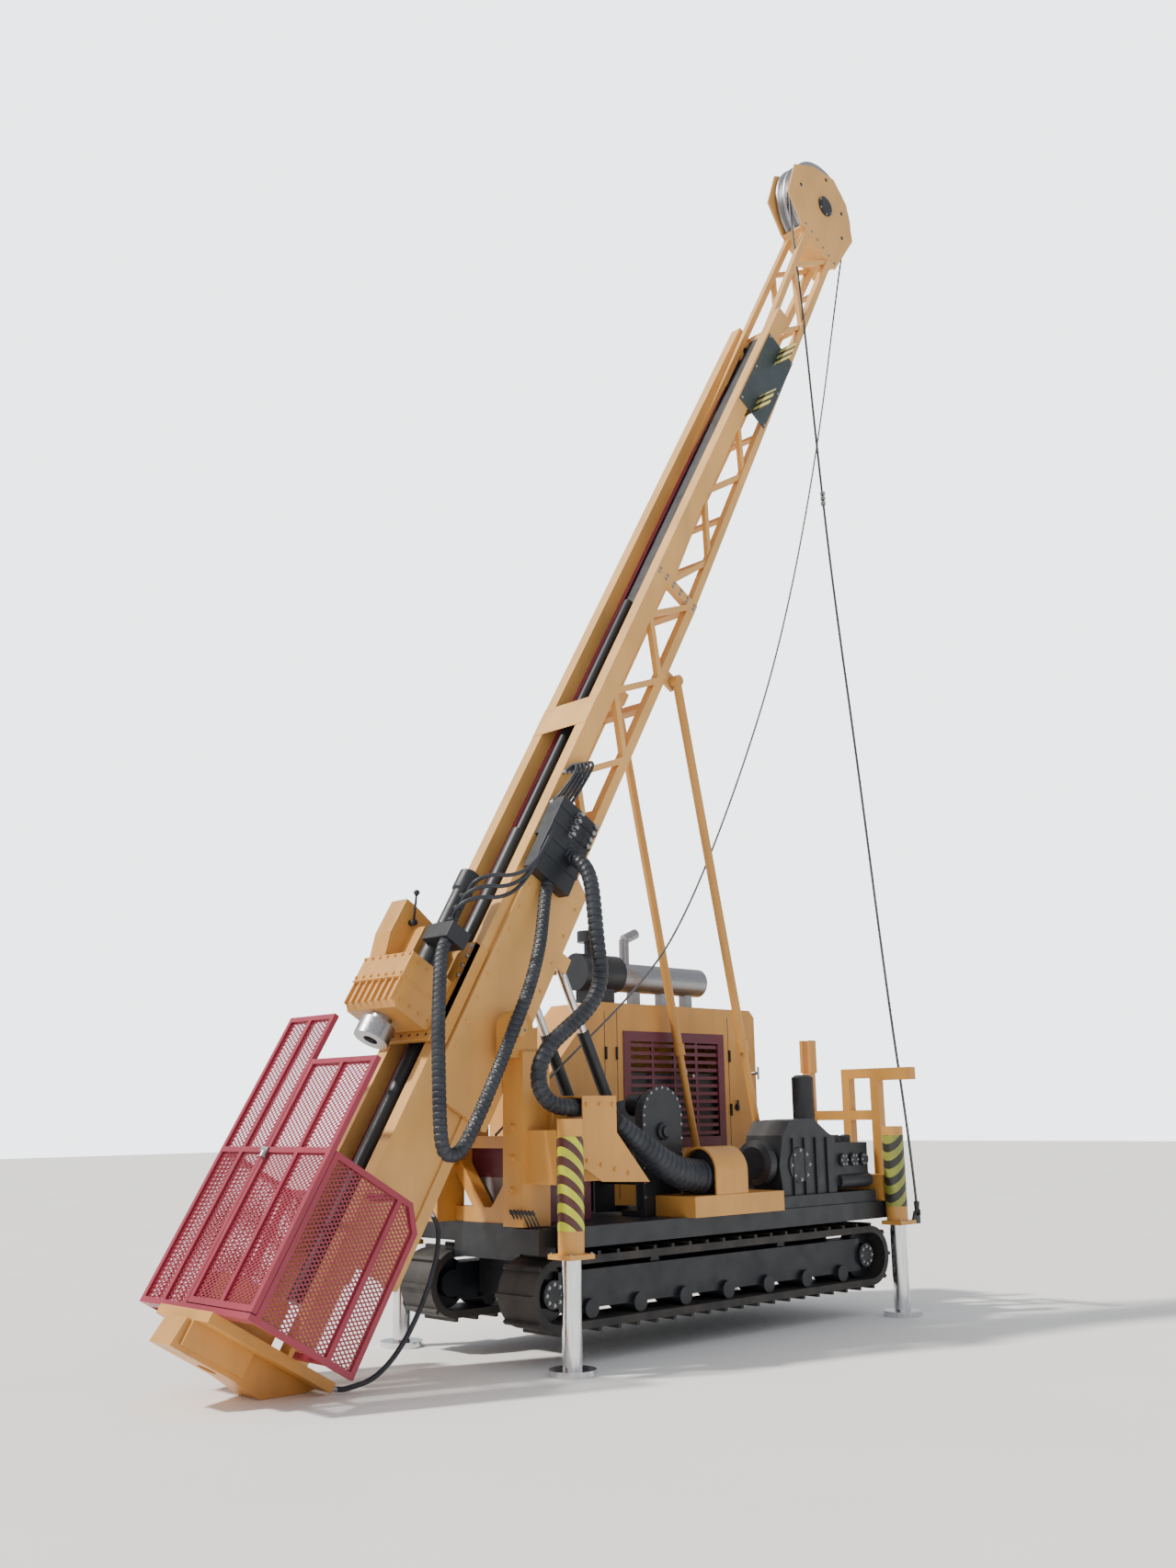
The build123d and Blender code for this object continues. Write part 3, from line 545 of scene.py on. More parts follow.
finish_form("grooved_sheave", sheave, steel, "crown_sheave", BASE_FRAME, 0.002, ("crown_sheave",))

# Drill head: carriage, ribbed gearbox with its flanged cover, and the shift box beside it
HEAD_FRONT, HEAD_REAR, HEAD_HALF = -1.990, -1.640, 0.270
HEAD_LOW, HEAD_TOP, CARRIAGE_TOP, CARRIAGE_HALF = 1.450, 1.880, 2.200, 0.320
head = bmesh.new()
add_box(head, HEAD_REAR, -1.590, -CARRIAGE_HALF, CARRIAGE_HALF, HEAD_LOW, CARRIAGE_TOP)
for side in (-1, 1):
    add_box(head, HEAD_REAR, -1.510, side * 0.306, side * CARRIAGE_HALF, HEAD_LOW, CARRIAGE_TOP)
add_box(head, -1.652, HEAD_REAR, -CARRIAGE_HALF, CARRIAGE_HALF, HEAD_LOW - 0.020, HEAD_LOW + 0.060)
add_plate(
    head,
    [
        (HEAD_REAR, 1.510), (HEAD_REAR, HEAD_TOP), (HEAD_FRONT, HEAD_TOP), (HEAD_FRONT, 1.530),
        (HEAD_FRONT + 0.040, 1.490), (HEAD_REAR - 0.030, 1.490),
    ],
    -HEAD_HALF, HEAD_HALF,
)
RIBS = 8
for rib in range(RIBS):
    rib_y = -HEAD_HALF + 0.008 + rib * (2 * HEAD_HALF - 0.028) / (RIBS - 1)
    add_box(head, HEAD_FRONT - 0.022, HEAD_FRONT + 0.005, rib_y, rib_y + 0.012, 1.520, 1.690)
add_box(head, HEAD_FRONT - 0.024, HEAD_FRONT, -HEAD_HALF, HEAD_HALF, 1.690, HEAD_TOP)
add_box(head, HEAD_FRONT - 0.030, HEAD_REAR, -HEAD_HALF - 0.006, HEAD_HALF + 0.006, 1.682, 1.694)
SHIFT_BOX = [
    (HEAD_REAR, 1.875), (HEAD_REAR, 2.290), (-1.950, 2.330), (-2.040, 2.330), (-2.040, 2.060),
    (-1.990, 1.875),
]
add_plate(head, SHIFT_BOX, 0.080, 0.260)
add_box(head, -1.900, HEAD_REAR, -0.060, 0.085, 1.875, 2.180)
finish_form("drill_head_body", head, yellow, "head", MAST_FRAME, stands_for=("drill_head",))
# Thin black discs on the carriage's lower lip paint the shade inside its holes
carriage_hole_shade_discs = bmesh.new()
for step in range(7):
    hole_y = -0.270 + step * 0.090
    add_disc(carriage_hole_shade_discs, (-1.6515, hole_y, HEAD_LOW + 0.020), (-1, 0, 0), 0.011, 0.002, 20)
add_piece("carriage_hole_shade", carriage_hole_shade_discs, black, "head", MAST_FRAME)
motors = bmesh.new()
MOTOR_PROFILE = [
    (0, 0.080), (0.30, 0.080), (0.32, 0.062), (0.60, 0.062), (0.62, 0.075), (0.76, 0.075), (0.78, 0.045),
]
PORT_PROFILE = [(0, 0.026), (0.03, 0.026), (0.03, 0.019), (0.07, 0.019)]
add_turned(motors, MOTOR_PROFILE, (-1.830, -0.185, HEAD_TOP), (0, 0, 1))
add_box(motors, -1.955, -1.780, -0.455, -0.190, 2.020, 2.140)
add_turned(motors, [(0, 0.075), (0.10, 0.075), (0.13, 0.060)], (-1.800, HEAD_HALF, 1.610), (0, 1, 0))
for step in range(3):
    add_turned(motors, PORT_PROFILE, (-1.845, -0.235, 2.24 + 0.1 * step), (0, -1, 0), 20)
finish_form("hydraulic_motors", motors, black, "head", MAST_FRAME, 0.003, ("head_motors",))

# Guard plate with its lip beside the near front jack
SIDE_GUARD_FACE = -0.830
SIDE_GUARD_OUTLINE = [
    (0.105, 1.230), (0.105, 1.475), (0.167, 1.475), (0.167, 1.697), (0.480, 1.697), (0.480, 1.458),
    (0.788, 1.126), (0.339, 1.144), (0.190, 1.230),
]
side_guard = bmesh.new()
add_plate(side_guard, SIDE_GUARD_OUTLINE, SIDE_GUARD_FACE, -0.818)
add_box(side_guard, 0.167, 0.480, -0.820, -0.612, 1.685, 1.697)
add_box(side_guard, 0.105, 0.160, -0.820, -0.612, 1.240, 1.460)
finish_form("side_guard", side_guard, yellow, "base", BASE_FRAME, 0.003)

# Main hoist's chain case: round-topped with a flanged cover
DECK_TOP = 0.870
CASE_X, CASE_TOP, CASE_R, CASE_FACE = 1.280, 1.565, 0.190, -0.492
case = bmesh.new()
arc = [radians(180 - 9 * step) for step in range(21)]
for grow, y0, y1 in ((0, -0.480, -0.400), (0.016, CASE_FACE, -0.478)):
    case_r = CASE_R + grow
    outline = [(CASE_X + case_r * cos(turn), CASE_TOP + case_r * sin(turn)) for turn in arc]
    add_plate(case, [(CASE_X - case_r, DECK_TOP), *outline, (CASE_X + case_r, DECK_TOP)], y0, y1)
add_turned(case, [(0, 0.080), (0.12, 0.080), (0.14, 0.050)], (1.190, -0.400, 1.640), (0, 1, 0))
BEARING_PROFILE = [(0, 0.062), (0.02, 0.062), (0.03, 0.040), (0.05, 0.040)]
add_turned(case, BEARING_PROFILE, (CASE_X, -0.490, 1.450), (0, -1, 0))
add_box(case, 1.060, 1.500, -0.480, -0.276, DECK_TOP, 0.910)
add_box(case, 1.400, 1.500, -0.480, 0.135, DECK_TOP, 0.910)
add_box(case, 1.180, 1.390, 0.121, 0.135, DECK_TOP, 1.560)
finish_form("chain_case", case, black, "base", BASE_FRAME, 0.003, ("winch_case",))

# Mud pump: ribbed crankcase, drive wheel, fluid end with three caps each way, and a tall round tank
PUMP_NEAR, PUMP_FAR = -0.760, -0.405
pump = bmesh.new()
add_box(pump, 2.240, 3.420, -0.790, -0.396, DECK_TOP, 0.960)
add_plate(
    pump,
    [
        (2.300, 0.955), (2.260, 1.180), (2.310, 1.400), (2.400, 1.510), (2.700, 1.520), (2.880, 1.410),
        (2.960, 1.380), (2.960, 0.955),
    ],
    PUMP_NEAR, PUMP_FAR,
)
for rib_x in (2.420, 2.560, 2.700, 2.840):
    add_box(pump, rib_x - 0.008, rib_x + 0.008, PUMP_NEAR - 0.018, PUMP_NEAR, 0.960, 1.380)
add_turned(pump, [(0, 0.130), (0.012, 0.130)], (2.500, PUMP_NEAR, 1.180), (0, -1, 0))
WHEEL_PROFILE = [(0, 0.120), (0.02, 0.170), (0.09, 0.170), (0.10, 0.060), (0.14, 0.060)]
add_turned(pump, WHEEL_PROFILE, (2.160, -0.580, 1.200), (1, 0, 0))
add_box(pump, 2.950, 3.380, PUMP_NEAR, PUMP_FAR, 1.010, 1.330)
CAP_PLACES = (3.040, 3.175, 3.310)
for cap_x in CAP_PLACES:
    add_turned(pump, [(0, 0.042), (0.055, 0.042), (0.065, 0.030)], (cap_x, -0.600, 1.325), (0, 0, 1), 24)
    add_turned(pump, [(0, 0.050), (0.025, 0.050)], (cap_x, PUMP_NEAR, 1.200), (0, -1, 0), 28)
add_turned(pump, [(0, 0.055), (0.40, 0.055)], (2.990, PUMP_NEAR + 0.020, 1.040), (1, 0, 0), 24)
add_turned(pump, [(0, 0.090), (0.98, 0.090), (1.00, 0.060)], (3.210, -0.270, DECK_TOP), (0, 0, 1), 32)
add_box(pump, 2.950, 3.350, -0.400, -0.180, DECK_TOP, 1.000)
finish_form("pump_body", pump, black, "base", BASE_FRAME, 0.004, ("mud_pump",))

# Hose manifold on the mast's near side
manifold = bmesh.new()
add_box(manifold, -1.570, -1.180, -0.450, -0.345, 2.880, 3.500)
add_box(manifold, -1.570, -1.440, -0.350, -0.300, 3.180, 3.500)
for step in range(4):
    add_box(manifold, -1.575, -1.175, -0.456, -0.450, 3.02 + 0.13 * step, 3.05 + 0.13 * step)
finish_form("hose_manifold", manifold, black, "mast", MAST_FRAME, 0.004)


# Expanded mesh on the guard
STRAND_WIDE, STRAND_DEEP = 0.0085, 0.0042
CELL_WIDE, CELL_HIGH = 0.046, 0.028


def mesh_panel(name, corner, across, up, width, height, body, cut=None):
    """Panel of diamond mesh; corner, across and up are in the mast's own directions."""
    corner, across, up = Vector(corner), Vector(across), Vector(up)
    normal = across.cross(up).normalized()
    mesh = bmesh.new()
    slope = CELL_HIGH / CELL_WIDE
    for way in (1, -1):
        lowest = -width * slope if way > 0 else 0.0
        count = int((height + width * slope) / CELL_HIGH) + 2
        shift = normal * (0.0012 * way)
        for step in range(count):
            ends = clip_line(lowest + step * CELL_HIGH, way * slope, width, height, cut)
            if ends is None:
                continue
            (u0, v0), (u1, v1) = ends
            start = corner + across * u0 + up * v0 + shift
            end = corner + across * u1 + up * v1 + shift
            add_bar(mesh, start, end, STRAND_WIDE, STRAND_DEEP, normal)
    return add_piece(name, mesh, maroon, body, MAST_FRAME)


def clip_line(base, slope, width, height, cut):
    """Ends of the line v = base + slope u inside a panel, with one top corner cut off."""
    low_u, high_u = 0.0, width
    for limit in (0.0, height):
        at = (limit - base) / slope
        if (limit == 0.0) == (slope > 0):
            low_u = max(low_u, at)
        else:
            high_u = min(high_u, at)
    if cut:
        cut_wide, cut_high = cut
        fall = cut_high / cut_wide
        at = (height + fall * (width - cut_wide) - base) / (slope + fall)
        if slope + fall > 1e-6:
            high_u = min(high_u, at)
        elif slope + fall < -1e-6:
            low_u = max(low_u, at)
    if high_u - low_u < 0.01:
        return None
    return (low_u, base + slope * low_u), (high_u, base + slope * high_u)


GUARD_FRONT, GUARD_BACK, GUARD_HALF = -2.12, -1.32, 0.62
GUARD_BOTTOM, SIDE_TOP, DOOR_TOP, GUARD_TOP = -0.62, 0.37, 1.02, 1.36
MESH_N = GUARD_FRONT + 0.018
for name, y0, y1, m0, m1, body in (
    ("door_mesh", -0.60, 0.07, GUARD_BOTTOM + 0.06, DOOR_TOP - 0.02, "guard_door"),
    ("far_front_mesh", 0.11, 0.60, GUARD_BOTTOM + 0.02, GUARD_TOP - 0.02, "mast"),
):
    mesh_panel(name, (MESH_N, y0, m0), (0, 1, 0), (0, 0, 1), y1 - y0, m1 - m0, body)
for side, name in ((-1, "near_side_mesh"), (1, "far_side_mesh")):
    y = side * (GUARD_HALF - 0.018)
    mesh_panel(
        name, (GUARD_FRONT + 0.05, y, GUARD_BOTTOM + 0.02), (1, 0, 0), (0, 0, 1),
        GUARD_BACK - GUARD_FRONT - 0.07, SIDE_TOP - GUARD_BOTTOM, "mast", (0.12, 0.10),
    )


# Bolts: hexagon heads on washers
def bolts(name, places, axis, size, material, body, place):
    """Hexagon heads of one size at several places, all facing one way."""
    mesh = bmesh.new()
    along = Vector(axis).normalized()
    for point in places:
        add_disc(mesh, point, axis, size * 1.3, size * 0.25, 14)
        add_disc(mesh, Vector(point) + along * size * 0.25, axis, size, size * 0.8, 6, size * 0.94)
    return add_piece(name, mesh, material, body, place)


def ring(x, y, z, radius, count):
    """Places on a circle that faces across the rig."""
    turns = [2 * pi * step / count for step in range(count)]
    return [(x + radius * cos(turn), y, z + radius * sin(turn)) for turn in turns]


def row(first, last, count):
    """Places in a straight row from first to last."""
    first, last = Vector(first), Vector(last)
    return [first.lerp(last, step / (count - 1)) for step in range(count)]


for side, word in ((-1, "near"), (1, "far")):
    face = side * CROWN_SIDE
    cap = bmesh.new()
    add_disc(cap, (HUB_N, face, HUB_M), (0, side, 0), 0.105, 0.014, 40)
    add_disc(cap, (HUB_N, face + side * 0.014, HUB_M), (0, side, 0), 0.088, 0.012, 40, 0.070)
    add_piece(f"crown_cap_{word}", cap, black, "mast", MAST_FRAME)
    bolts(
        f"crown_bolts_{word}",
        ring(HUB_N, face + side * 0.014, HUB_M, 0.096, 6)
        + row((-1.62, face, 10.985), (-1.10, face, 10.985), 6),
        (0, side, 0), 0.010, steel, "mast", MAST_FRAME,
    )
    bolts(
        f"mast_joint_bolts_{word}", row((-1.55, side * 0.2985, 5.945), (-1.09, side * 0.2985, 5.945), 6)
        + row((-1.55, side * 0.2985, 5.905), (-1.09, side * 0.2985, 5.905), 6),
        (0, side, 0), 0.011, steel, "mast", MAST_FRAME,
    )
    bolts(
        f"trunnion_bolts_{word}", ring(-1.1616, side * 0.525, 1.8119, 0.040, 4), (0, side, 0),
        0.008, steel, "tilt", MAST_FRAME,
    )
    bolts(
        f"track_hub_bolts_{word}",
        ring(0.07, side * 0.645, 0.45, 0.065, 8) + ring(3.45, side * 0.645, 0.45, 0.065, 8),
        (0, side, 0), 0.010, steel, "base", BASE_FRAME,
    )
    bolts(
        f"tilt_frame_bolts_{word}",
        row((-1.45, side * 0.340, 1.50), (-1.45, side * 0.340, 2.80), 8)
        + row((-1.00, side * 0.340, 1.30), (-1.00, side * 0.340, 2.90), 8),
        (0, side, 0), 0.012, mast_yellow, "tilt", MAST_FRAME,
    )

bolts(
    "gearbox_cover_bolts",
    row((HEAD_FRONT - 0.024, -0.25, 1.715), (HEAD_FRONT - 0.024, 0.25, 1.715), 7)
    + row((HEAD_FRONT - 0.024, -0.25, 1.860), (HEAD_FRONT - 0.024, 0.25, 1.860), 7),
    (-1, 0, 0), 0.011, yellow, "head", MAST_FRAME,
)
bolts(
    "gearbox_side_bolts",
    row((-1.94, -HEAD_HALF, 1.55), (-1.68, -HEAD_HALF, 1.55), 4)
    + row((-1.94, -HEAD_HALF, 1.83), (-1.68, -HEAD_HALF, 1.83), 4),
    (0, -1, 0), 0.011, yellow, "head", MAST_FRAME,
)
bolts(
    "carriage_bolts",
    row((HEAD_REAR, -0.300, 1.93), (HEAD_REAR, -0.300, 2.16), 4)
    + row((HEAD_REAR, 0.300, 1.93), (HEAD_REAR, 0.300, 2.16), 4),
    (-1, 0, 0), 0.012, steel, "head", MAST_FRAME,
)
BOLT_R = CASE_R + 0.004
bolts(
    "hub_plate_bolts",
    ring(CASE_X, CASE_FACE, CASE_TOP, BOLT_R, 20)[:11]
    + row((CASE_X - BOLT_R, CASE_FACE, 1.00), (CASE_X - BOLT_R, CASE_FACE, 1.50), 6)
    + row((CASE_X + BOLT_R, CASE_FACE, 1.00), (CASE_X + BOLT_R, CASE_FACE, 1.50), 6),
    (0, -1, 0), 0.008, steel, "base", BASE_FRAME,
)
cover_places = ring(2.50, -0.772, 1.18, 0.108, 8)
bolts("pump_cover_bolts", cover_places, (0, -1, 0), 0.010, steel, "base", BASE_FRAME)
pump_caps = []
for cap_x in CAP_PLACES:
    pump_caps += ring(cap_x, -0.785, 1.20, 0.036, 6)
bolts("pump_cap_bolts", pump_caps, (0, -1, 0), 0.007, steel, "base", BASE_FRAME)
bolts(
    "front_post_bolts",
    row((-0.110, -0.45, 1.10), (-0.110, -0.45, 1.50), 3)
    + row((-0.110, 0.45, 1.10), (-0.110, 0.45, 1.50), 3),
    (-1, 0, 0), 0.020, yellow, "base", BASE_FRAME,
)
bolts(
    "side_guard_bolts",
    row((0.20, SIDE_GUARD_FACE, 1.28), (0.58, SIDE_GUARD_FACE, 1.19), 4)
    + row((0.20, SIDE_GUARD_FACE, 1.64), (0.44, SIDE_GUARD_FACE, 1.64), 3),
    (0, -1, 0), 0.012, yellow, "base", BASE_FRAME,
)
bolts(
    "panel_bolts", [(n, -0.306, m) for n in (-1.54, -1.20) for m in (8.18, 8.63, 9.08)],
    (0, -1, 0), 0.011, steel, "mast", MAST_FRAME,
)
JACK_Y, REAR_JACK_X = 0.885, 3.56
jack_bolts = [
    (x + dx, side * JACK_Y + dy, 0.720)
    for x in (0.0, REAR_JACK_X) for side in (-1, 1) for dx in (-0.09, 0.09) for dy in (-0.09, 0.09)
]
clear_bolts = [point for point in jack_bolts if abs(point[1]) > 0.9 or point[0] < 1]
bolts("jack_flange_bolts", clear_bolts, (0, 0, 1), 0.009, steel, "base", BASE_FRAME)


# Jack stripes: a thin sleeve on each jack tube
def stripes(name, light, dark, pitch, slope):
    """Slanting stripes across a sleeve or plate."""
    made, tree, shader, place = new_material(name)
    split = tree.nodes.new("ShaderNodeSeparateXYZ")
    tree.links.new(place, split.inputs["Vector"])
    lean = tree.nodes.new("ShaderNodeMath")
    lean.operation = "MULTIPLY_ADD"
    lean.inputs[1].default_value = slope
    tree.links.new(split.outputs["X"], lean.inputs[0])
    tree.links.new(split.outputs["Z"], lean.inputs[2])
    wave = tree.nodes.new("ShaderNodeMath")
    wave.operation = "PINGPONG"
    wave.inputs[1].default_value = pitch / 2
    tree.links.new(lean.outputs["Value"], wave.inputs[0])
    edge = tree.nodes.new("ShaderNodeMath")
    edge.operation = "GREATER_THAN"
    edge.inputs[1].default_value = pitch / 4
    tree.links.new(wave.outputs["Value"], edge.inputs[0])
    worn = scaled(tree, noise(tree, place, 12.0, 6.0), 0.0, 0.25)
    colour = mix(tree, edge.outputs["Value"], light, dark)
    tree.links.new(mix(tree, worn, colour, (0.12, 0.10, 0.07)), shader.inputs["Base Color"])
    tree.links.new(scaled(tree, noise(tree, place, 9.0), 0.28, 0.42), shader.inputs["Roughness"])
    bump(tree, shader, noise(tree, place, 150.0, 2.0), 0.1, 0.0008)
    return made


LIME = (0.62, 0.66, 0.025)
PANEL_YELLOW = (0.62, 0.55, 0.12)
DARK_RED = (0.085, 0.014, 0.016)
OLIVE_BLACK = (0.025, 0.027, 0.022)
front_stripes = stripes("front_jack_stripes", LIME, DARK_RED, 0.115, 1.0)
rear_stripes = stripes("rear_jack_stripes", (0.30, 0.33, 0.05), OLIVE_BLACK, 0.13, -1.0)
panel_stripes = stripes("panel_stripes", PANEL_YELLOW, OLIVE_BLACK, 0.095, 1.0)


def sleeve(name, centre, radius, low, high, material):
    """Thin sleeve round a jack tube."""
    mesh = bmesh.new()
    sides = 48
    rings = []
    for z in (low, high):
        for r in (radius, radius + 0.0015):
            turns = [2 * pi * step / sides for step in range(sides)]
            rings.append([mesh.verts.new((r * cos(turn), r * sin(turn), z)) for turn in turns])
    inner_low, outer_low, inner_high, outer_high = rings
    for i in range(sides):
        j = (i + 1) % sides
        mesh.faces.new((outer_low[i], outer_low[j], outer_high[j], outer_high[i]))
        mesh.faces.new((inner_low[j], inner_low[i], inner_high[i], inner_high[j]))
        mesh.faces.new((inner_low[i], inner_low[j], outer_low[j], outer_low[i]))
        mesh.faces.new((outer_high[i], outer_high[j], inner_high[j], inner_high[i]))
    return add_piece(name, mesh, material, "base", Matrix.Translation(centre))


JACK_TUBE_R = 0.084
for name, x, low, high, material in (
    ("front_stripe", 0.0, 0.86, 1.44, front_stripes),
    ("rear_stripe", REAR_JACK_X, 0.83, 1.38, rear_stripes),
):
    for side, word in ((-1, "near"), (1, "far")):
        foot = on_base(x, side * JACK_Y, 0)
        sleeve(f"{name}_{word}", foot, JACK_TUBE_R + 0.0005, low, high, material)

panel_bands = bmesh.new()
for low, high in ((8.155, 8.40), (8.86, 9.105)):
    add_bar(panel_bands, (-1.37, -0.3075, low), (-1.37, -0.3075, high), 0.003, 0.376, (0, 1, 0))
add_piece("panel_bands", panel_bands, panel_stripes, "mast", MAST_FRAME)

# Bands of colour on the tank between the posts
TANK_BANDS = (("tank_band", 1.17, 1.33, grille_red), ("tank_front", 0.88, 1.16, tank_grey))
for name, low, high, material in TANK_BANDS:
    band = bmesh.new()
    add_bar(band, (0.188, 0, low), (0.188, 0, high), 0.62, 0.003, (1, 0, 0))
    add_piece(name, band, material, "base", BASE_FRAME)

# Small fittings: lever on the head, pull-out pins on the stays, rope clamp and tie-down hook
lever = bmesh.new()
add_disc(lever, (-1.93, 0.080, 2.20), (0, -1, 0), 0.022, 0.05, 16)
add_disc(lever, (-1.93, 0.045, 2.20), (-0.55, -0.25, 0.8), 0.008, 0.20, 12)
knob = Matrix.Translation((-2.043, -0.006, 2.364))
bmesh.ops.create_uvsphere(lever, u_segments=20, v_segments=12, radius=0.021, matrix=knob)
add_piece("shift_lever", lever, black, "head", MAST_FRAME, smooth=True)

pins = bmesh.new()
STAY_X, STAY_Z = 2.506, 2.006
for side in (-1, 1):
    add_disc(pins, (STAY_X, side * 0.300, STAY_Z - 0.13), (0, side, 0), 0.013, 0.085, 14)
    add_disc(pins, (STAY_X, side * 0.385, STAY_Z - 0.18), (0, 0, 1), 0.009, 0.10, 12)
add_piece("stay_pins", pins, steel, "stay_tubes", BASE_FRAME)

clamp = bmesh.new()
CLAMP = (3.805, -0.37, 7.10)
for step in range(3):
    low = Vector(CLAMP) + Vector((0.0, 0.0, step * 0.05))
    add_disc(clamp, low, (0.05, 0.09, 1.0), 0.024, 0.030, 14)
add_piece("rope_clamps", clamp, steel, "mast", BASE_FRAME)

hook = bmesh.new()
add_plate(hook, [(3.620, 0.690), (3.665, 0.790), (3.735, 0.790), (3.735, 0.690)], -0.985, -0.969)
add_disc(hook, (3.705, -0.977, 0.775), (0, 0, 1), 0.018, 0.085, 16, 0.024)
add_disc(hook, (3.705, -0.999, 0.762), (0, 1, 0), 0.013, 0.040, 16)
add_bar(hook, (3.705, -0.993, 0.755), (3.705, -0.993, 0.800), 0.026, 0.010)
add_piece("tie_down_hook", hook, black, "base", BASE_FRAME)

# Swivel fittings on the manifold's near side, and the short hoses that arch over its top
fittings = bmesh.new()
for step in range(4):
    middle = (-1.25, -0.490, 3.26 + step * 0.06)
    add_disc(fittings, middle, (0, -1, 0), 0.017, 0.035, 16)
    add_disc(fittings, (-1.40, -0.450, middle[2]), (0, -1, 0), 0.022, 0.030, 6)
    add_disc(fittings, (-1.40, -0.480, middle[2]), (0, -1, 0), 0.015, 0.040, 16)
add_piece("manifold_fittings", fittings, steel, "mast", MAST_FRAME)
for number, end_n in enumerate((-1.565, -1.535, -1.505, -1.475, -1.445)):
    arch = [
        (end_n, -0.318, 3.46), (end_n, -0.365, 3.50), (end_n, -0.400, 3.58),
        (end_n + 0.01, -0.425, 3.68 + 0.03 * number), (end_n + 0.02, -0.410, 3.79 + 0.03 * number),
        (end_n + 0.02, -0.360, 3.84 + 0.03 * number), (end_n + 0.01, -0.325, 3.80 + 0.03 * number),
        (end_n, -0.303, 3.74 + 0.03 * number),
    ]
    hose(f"manifold_line_{number}", [on_mast(*point) for point in arch], 0.012, 0)

# Ribbed duct that leads the wireline to its drum
DUCT_ROUTE = [
    (1.430, -0.700, 1.130), (1.230, -0.700, 1.150), (0.960, -0.700, 1.290), (0.600, -0.700, 1.530),
]
DUCT_WIDE, DUCT_NARROW = 0.120, 0.055
duct_places = [on_base(*point) for point in DUCT_ROUTE]
duct_line, duct_length = even_points(line_points(duct_places, 24), 0.008)


def duct_surface(distance, angle):
    """Radius of the duct: it narrows forward, with a rib every few centimetres."""
    plain = DUCT_WIDE + (DUCT_NARROW - DUCT_WIDE) * min(1.0, distance / duct_length)
    return plain + (0.007 if distance % 0.048 < 0.02 else 0.0)


add_piece("wireline_duct", tube_mesh(duct_line, duct_surface, 32), hose_rubber, "base")

# Hood furniture: door seams, hinges and latches on its near side
furniture = bmesh.new()
for seam_x in (1.62, 1.76, 3.11):
    add_bar(furniture, (seam_x, 0.4395, 0.93), (seam_x, 0.4395, 2.38), 0.005, 0.002, (0, 1, 0))
for hinge_x in (1.63, 1.75, 3.12):
    for hinge_z in (1.15, 1.55, 2.00):
        add_disc(furniture, (hinge_x, 0.432, hinge_z), (0, 0, 1), 0.010, 0.10, 14)
for latch_x in (1.55, 3.20):
    add_disc(furniture, (latch_x, 0.440, 1.62), (0, -1, 0), 0.030, 0.008, 28)
    add_bar(furniture, (latch_x, 0.426, 1.59), (latch_x, 0.426, 1.68), 0.018, 0.010, (0, 1, 0))
add_piece("hood_furniture", furniture, black, "base", BASE_FRAME)

# Valve levers by the near front jack
levers = bmesh.new()
for step in range(7):
    lever_y = -0.677 + step * 0.036
    top = (-0.13, lever_y, 0.955)
    add_bar(levers, (-0.05, lever_y, 0.83), top, 0.008)
    add_disc(levers, top, (-0.5, 0, 0.8), 0.012, 0.028, 14, 0.009)
add_piece("valve_levers", levers, black, "base", BASE_FRAME)

# Dark sheet laid in the recess between the front rails as painted shade, and the two pipes along it
recess = bmesh.new()
add_bar(recess, (-1.4425, 0, 0.02), (-1.4425, 0, 9.40), 0.37, 0.003, (1, 0, 0))
add_piece("recess_painted_shade", recess, hose_rubber, "mast", MAST_FRAME)
pipes = bmesh.new()
for pipe_y in (0.155, 0.178):
    add_disc(pipes, (-1.462, pipe_y, 0.10), (0, 0, 1), 0.009, 9.2, 12)
add_piece("mast_pipes", pipes, maroon, "mast", MAST_FRAME, smooth=True)

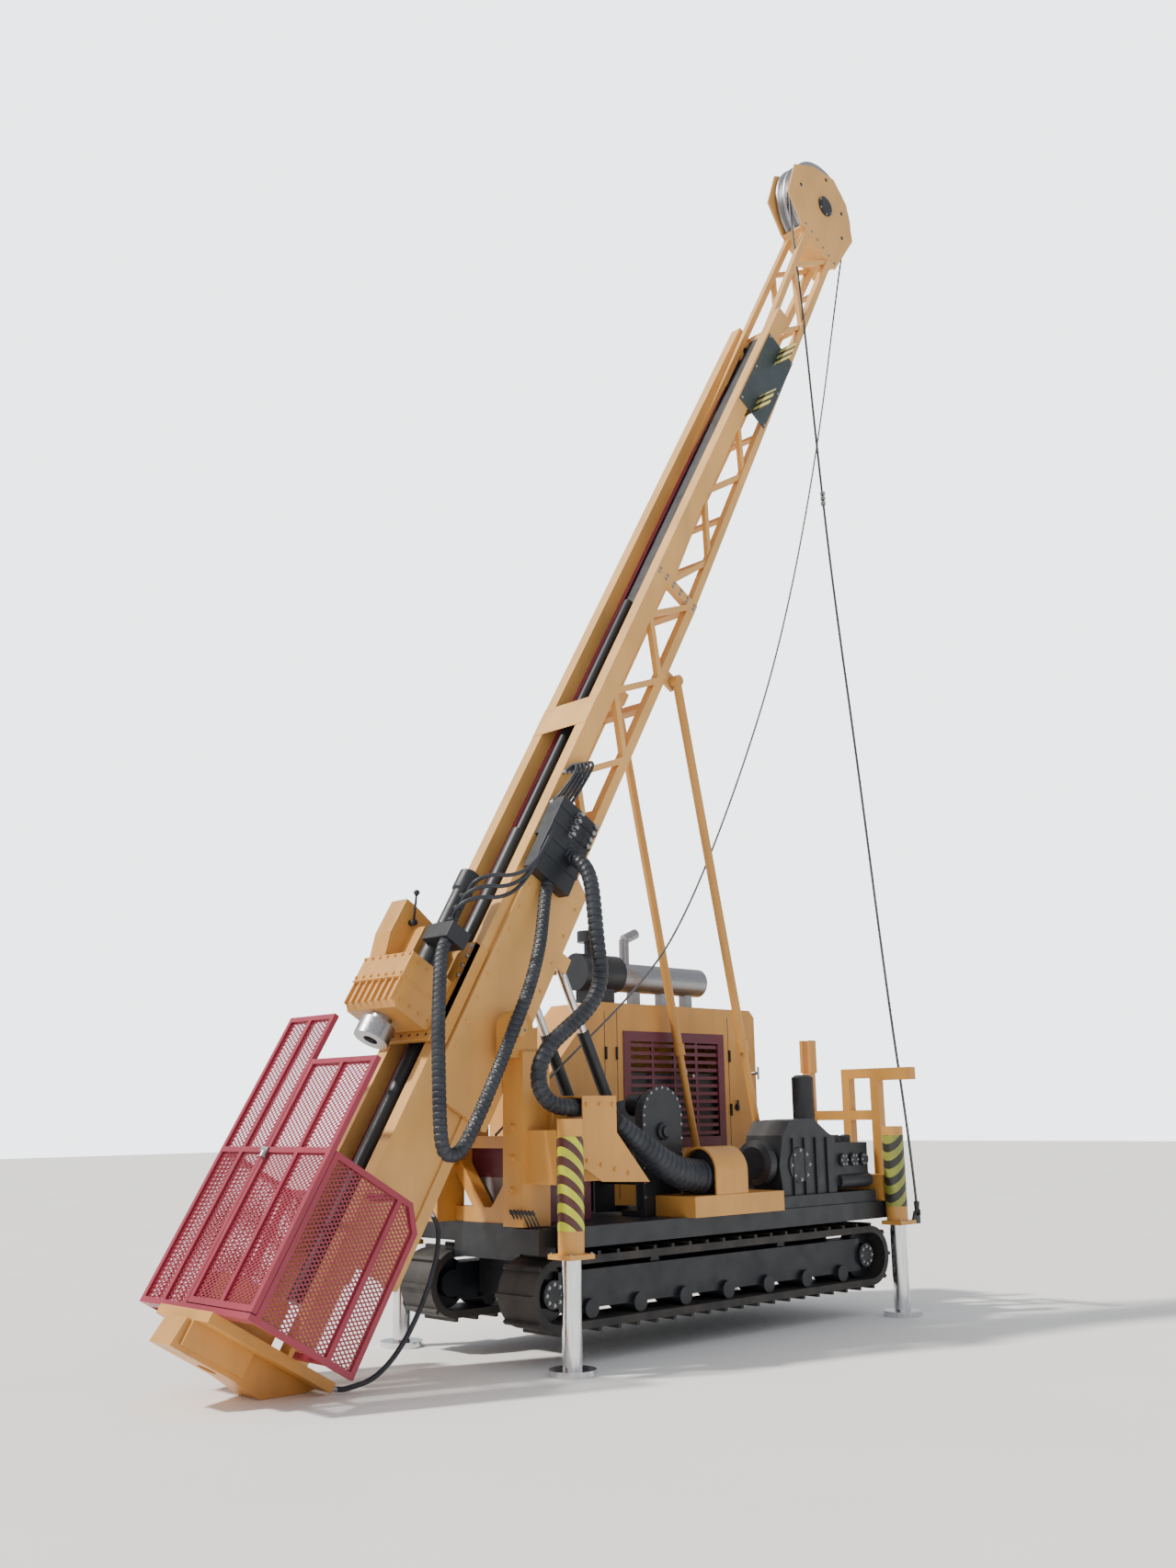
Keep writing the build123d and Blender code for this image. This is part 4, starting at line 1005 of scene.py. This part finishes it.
# Door latch with its padlock, and the knob of the door's slot
latch = bmesh.new()
add_bar(latch, (-2.128, 0.045, 0.385), (-2.128, 0.125, 0.385), 0.030, 0.008, (1, 0, 0))
add_disc(latch, (-2.130, 0.060, 0.330), (0, 0, 1), 0.022, 0.036, 18)
add_piece("door_latch", latch, steel, "guard_door", MAST_FRAME)

# Floor, light and sky
floor_data = bpy.data.meshes.new("floor")
SIZE = 60.0
FLOOR_CORNERS = [(-SIZE, -SIZE, 0), (SIZE, -SIZE, 0), (SIZE, SIZE, 0), (-SIZE, SIZE, 0)]
floor_data.from_pydata(FLOOR_CORNERS, [], [(0, 1, 2, 3)])
floor_material, floor_tree, floor_shader, floor_place = new_material("floor")
pale_stops = [(0.3, (0.90, 0.90, 0.90)), (0.7, (0.94, 0.94, 0.93))]
pale = ramp(floor_tree, noise(floor_tree, floor_place, 0.6), pale_stops)
floor_tree.links.new(pale, floor_shader.inputs["Base Color"])
floor_shader.inputs["Roughness"].default_value = 0.8
floor_data.materials.append(floor_material)
floor = bpy.data.objects.new("floor", floor_data)
scene.collection.objects.link(floor)

# The sky lights the rig softly and shows as plain white behind it
SKY_LIGHT, SKY_SHOWN = 0.75, 3.6
world = bpy.data.worlds.new("sky")
world.use_nodes = True
sky = world.node_tree.nodes["Background"]
sky.inputs["Color"].default_value = (0.93, 0.96, 1.0, 1)
ray = world.node_tree.nodes.new("ShaderNodeLightPath")
shown = world.node_tree.nodes.new("ShaderNodeMapRange")
shown.inputs["To Min"].default_value = SKY_LIGHT
shown.inputs["To Max"].default_value = SKY_SHOWN
world.node_tree.links.new(ray.outputs["Is Camera Ray"], shown.inputs["Value"])
world.node_tree.links.new(shown.outputs["Result"], sky.inputs["Strength"])
scene.world = world

sun_data = bpy.data.lights.new("sun", "SUN")
sun_data.energy = 4.6
sun_data.angle = radians(4)
sun_data.color = (1.0, 0.95, 0.86)
sun = bpy.data.objects.new("sun", sun_data)
scene.collection.objects.link(sun)
SUN_FROM = Vector((-0.75, 0.45, 1.0))
sun.rotation_euler = (-SUN_FROM).to_track_quat("-Z", "Y").to_euler()
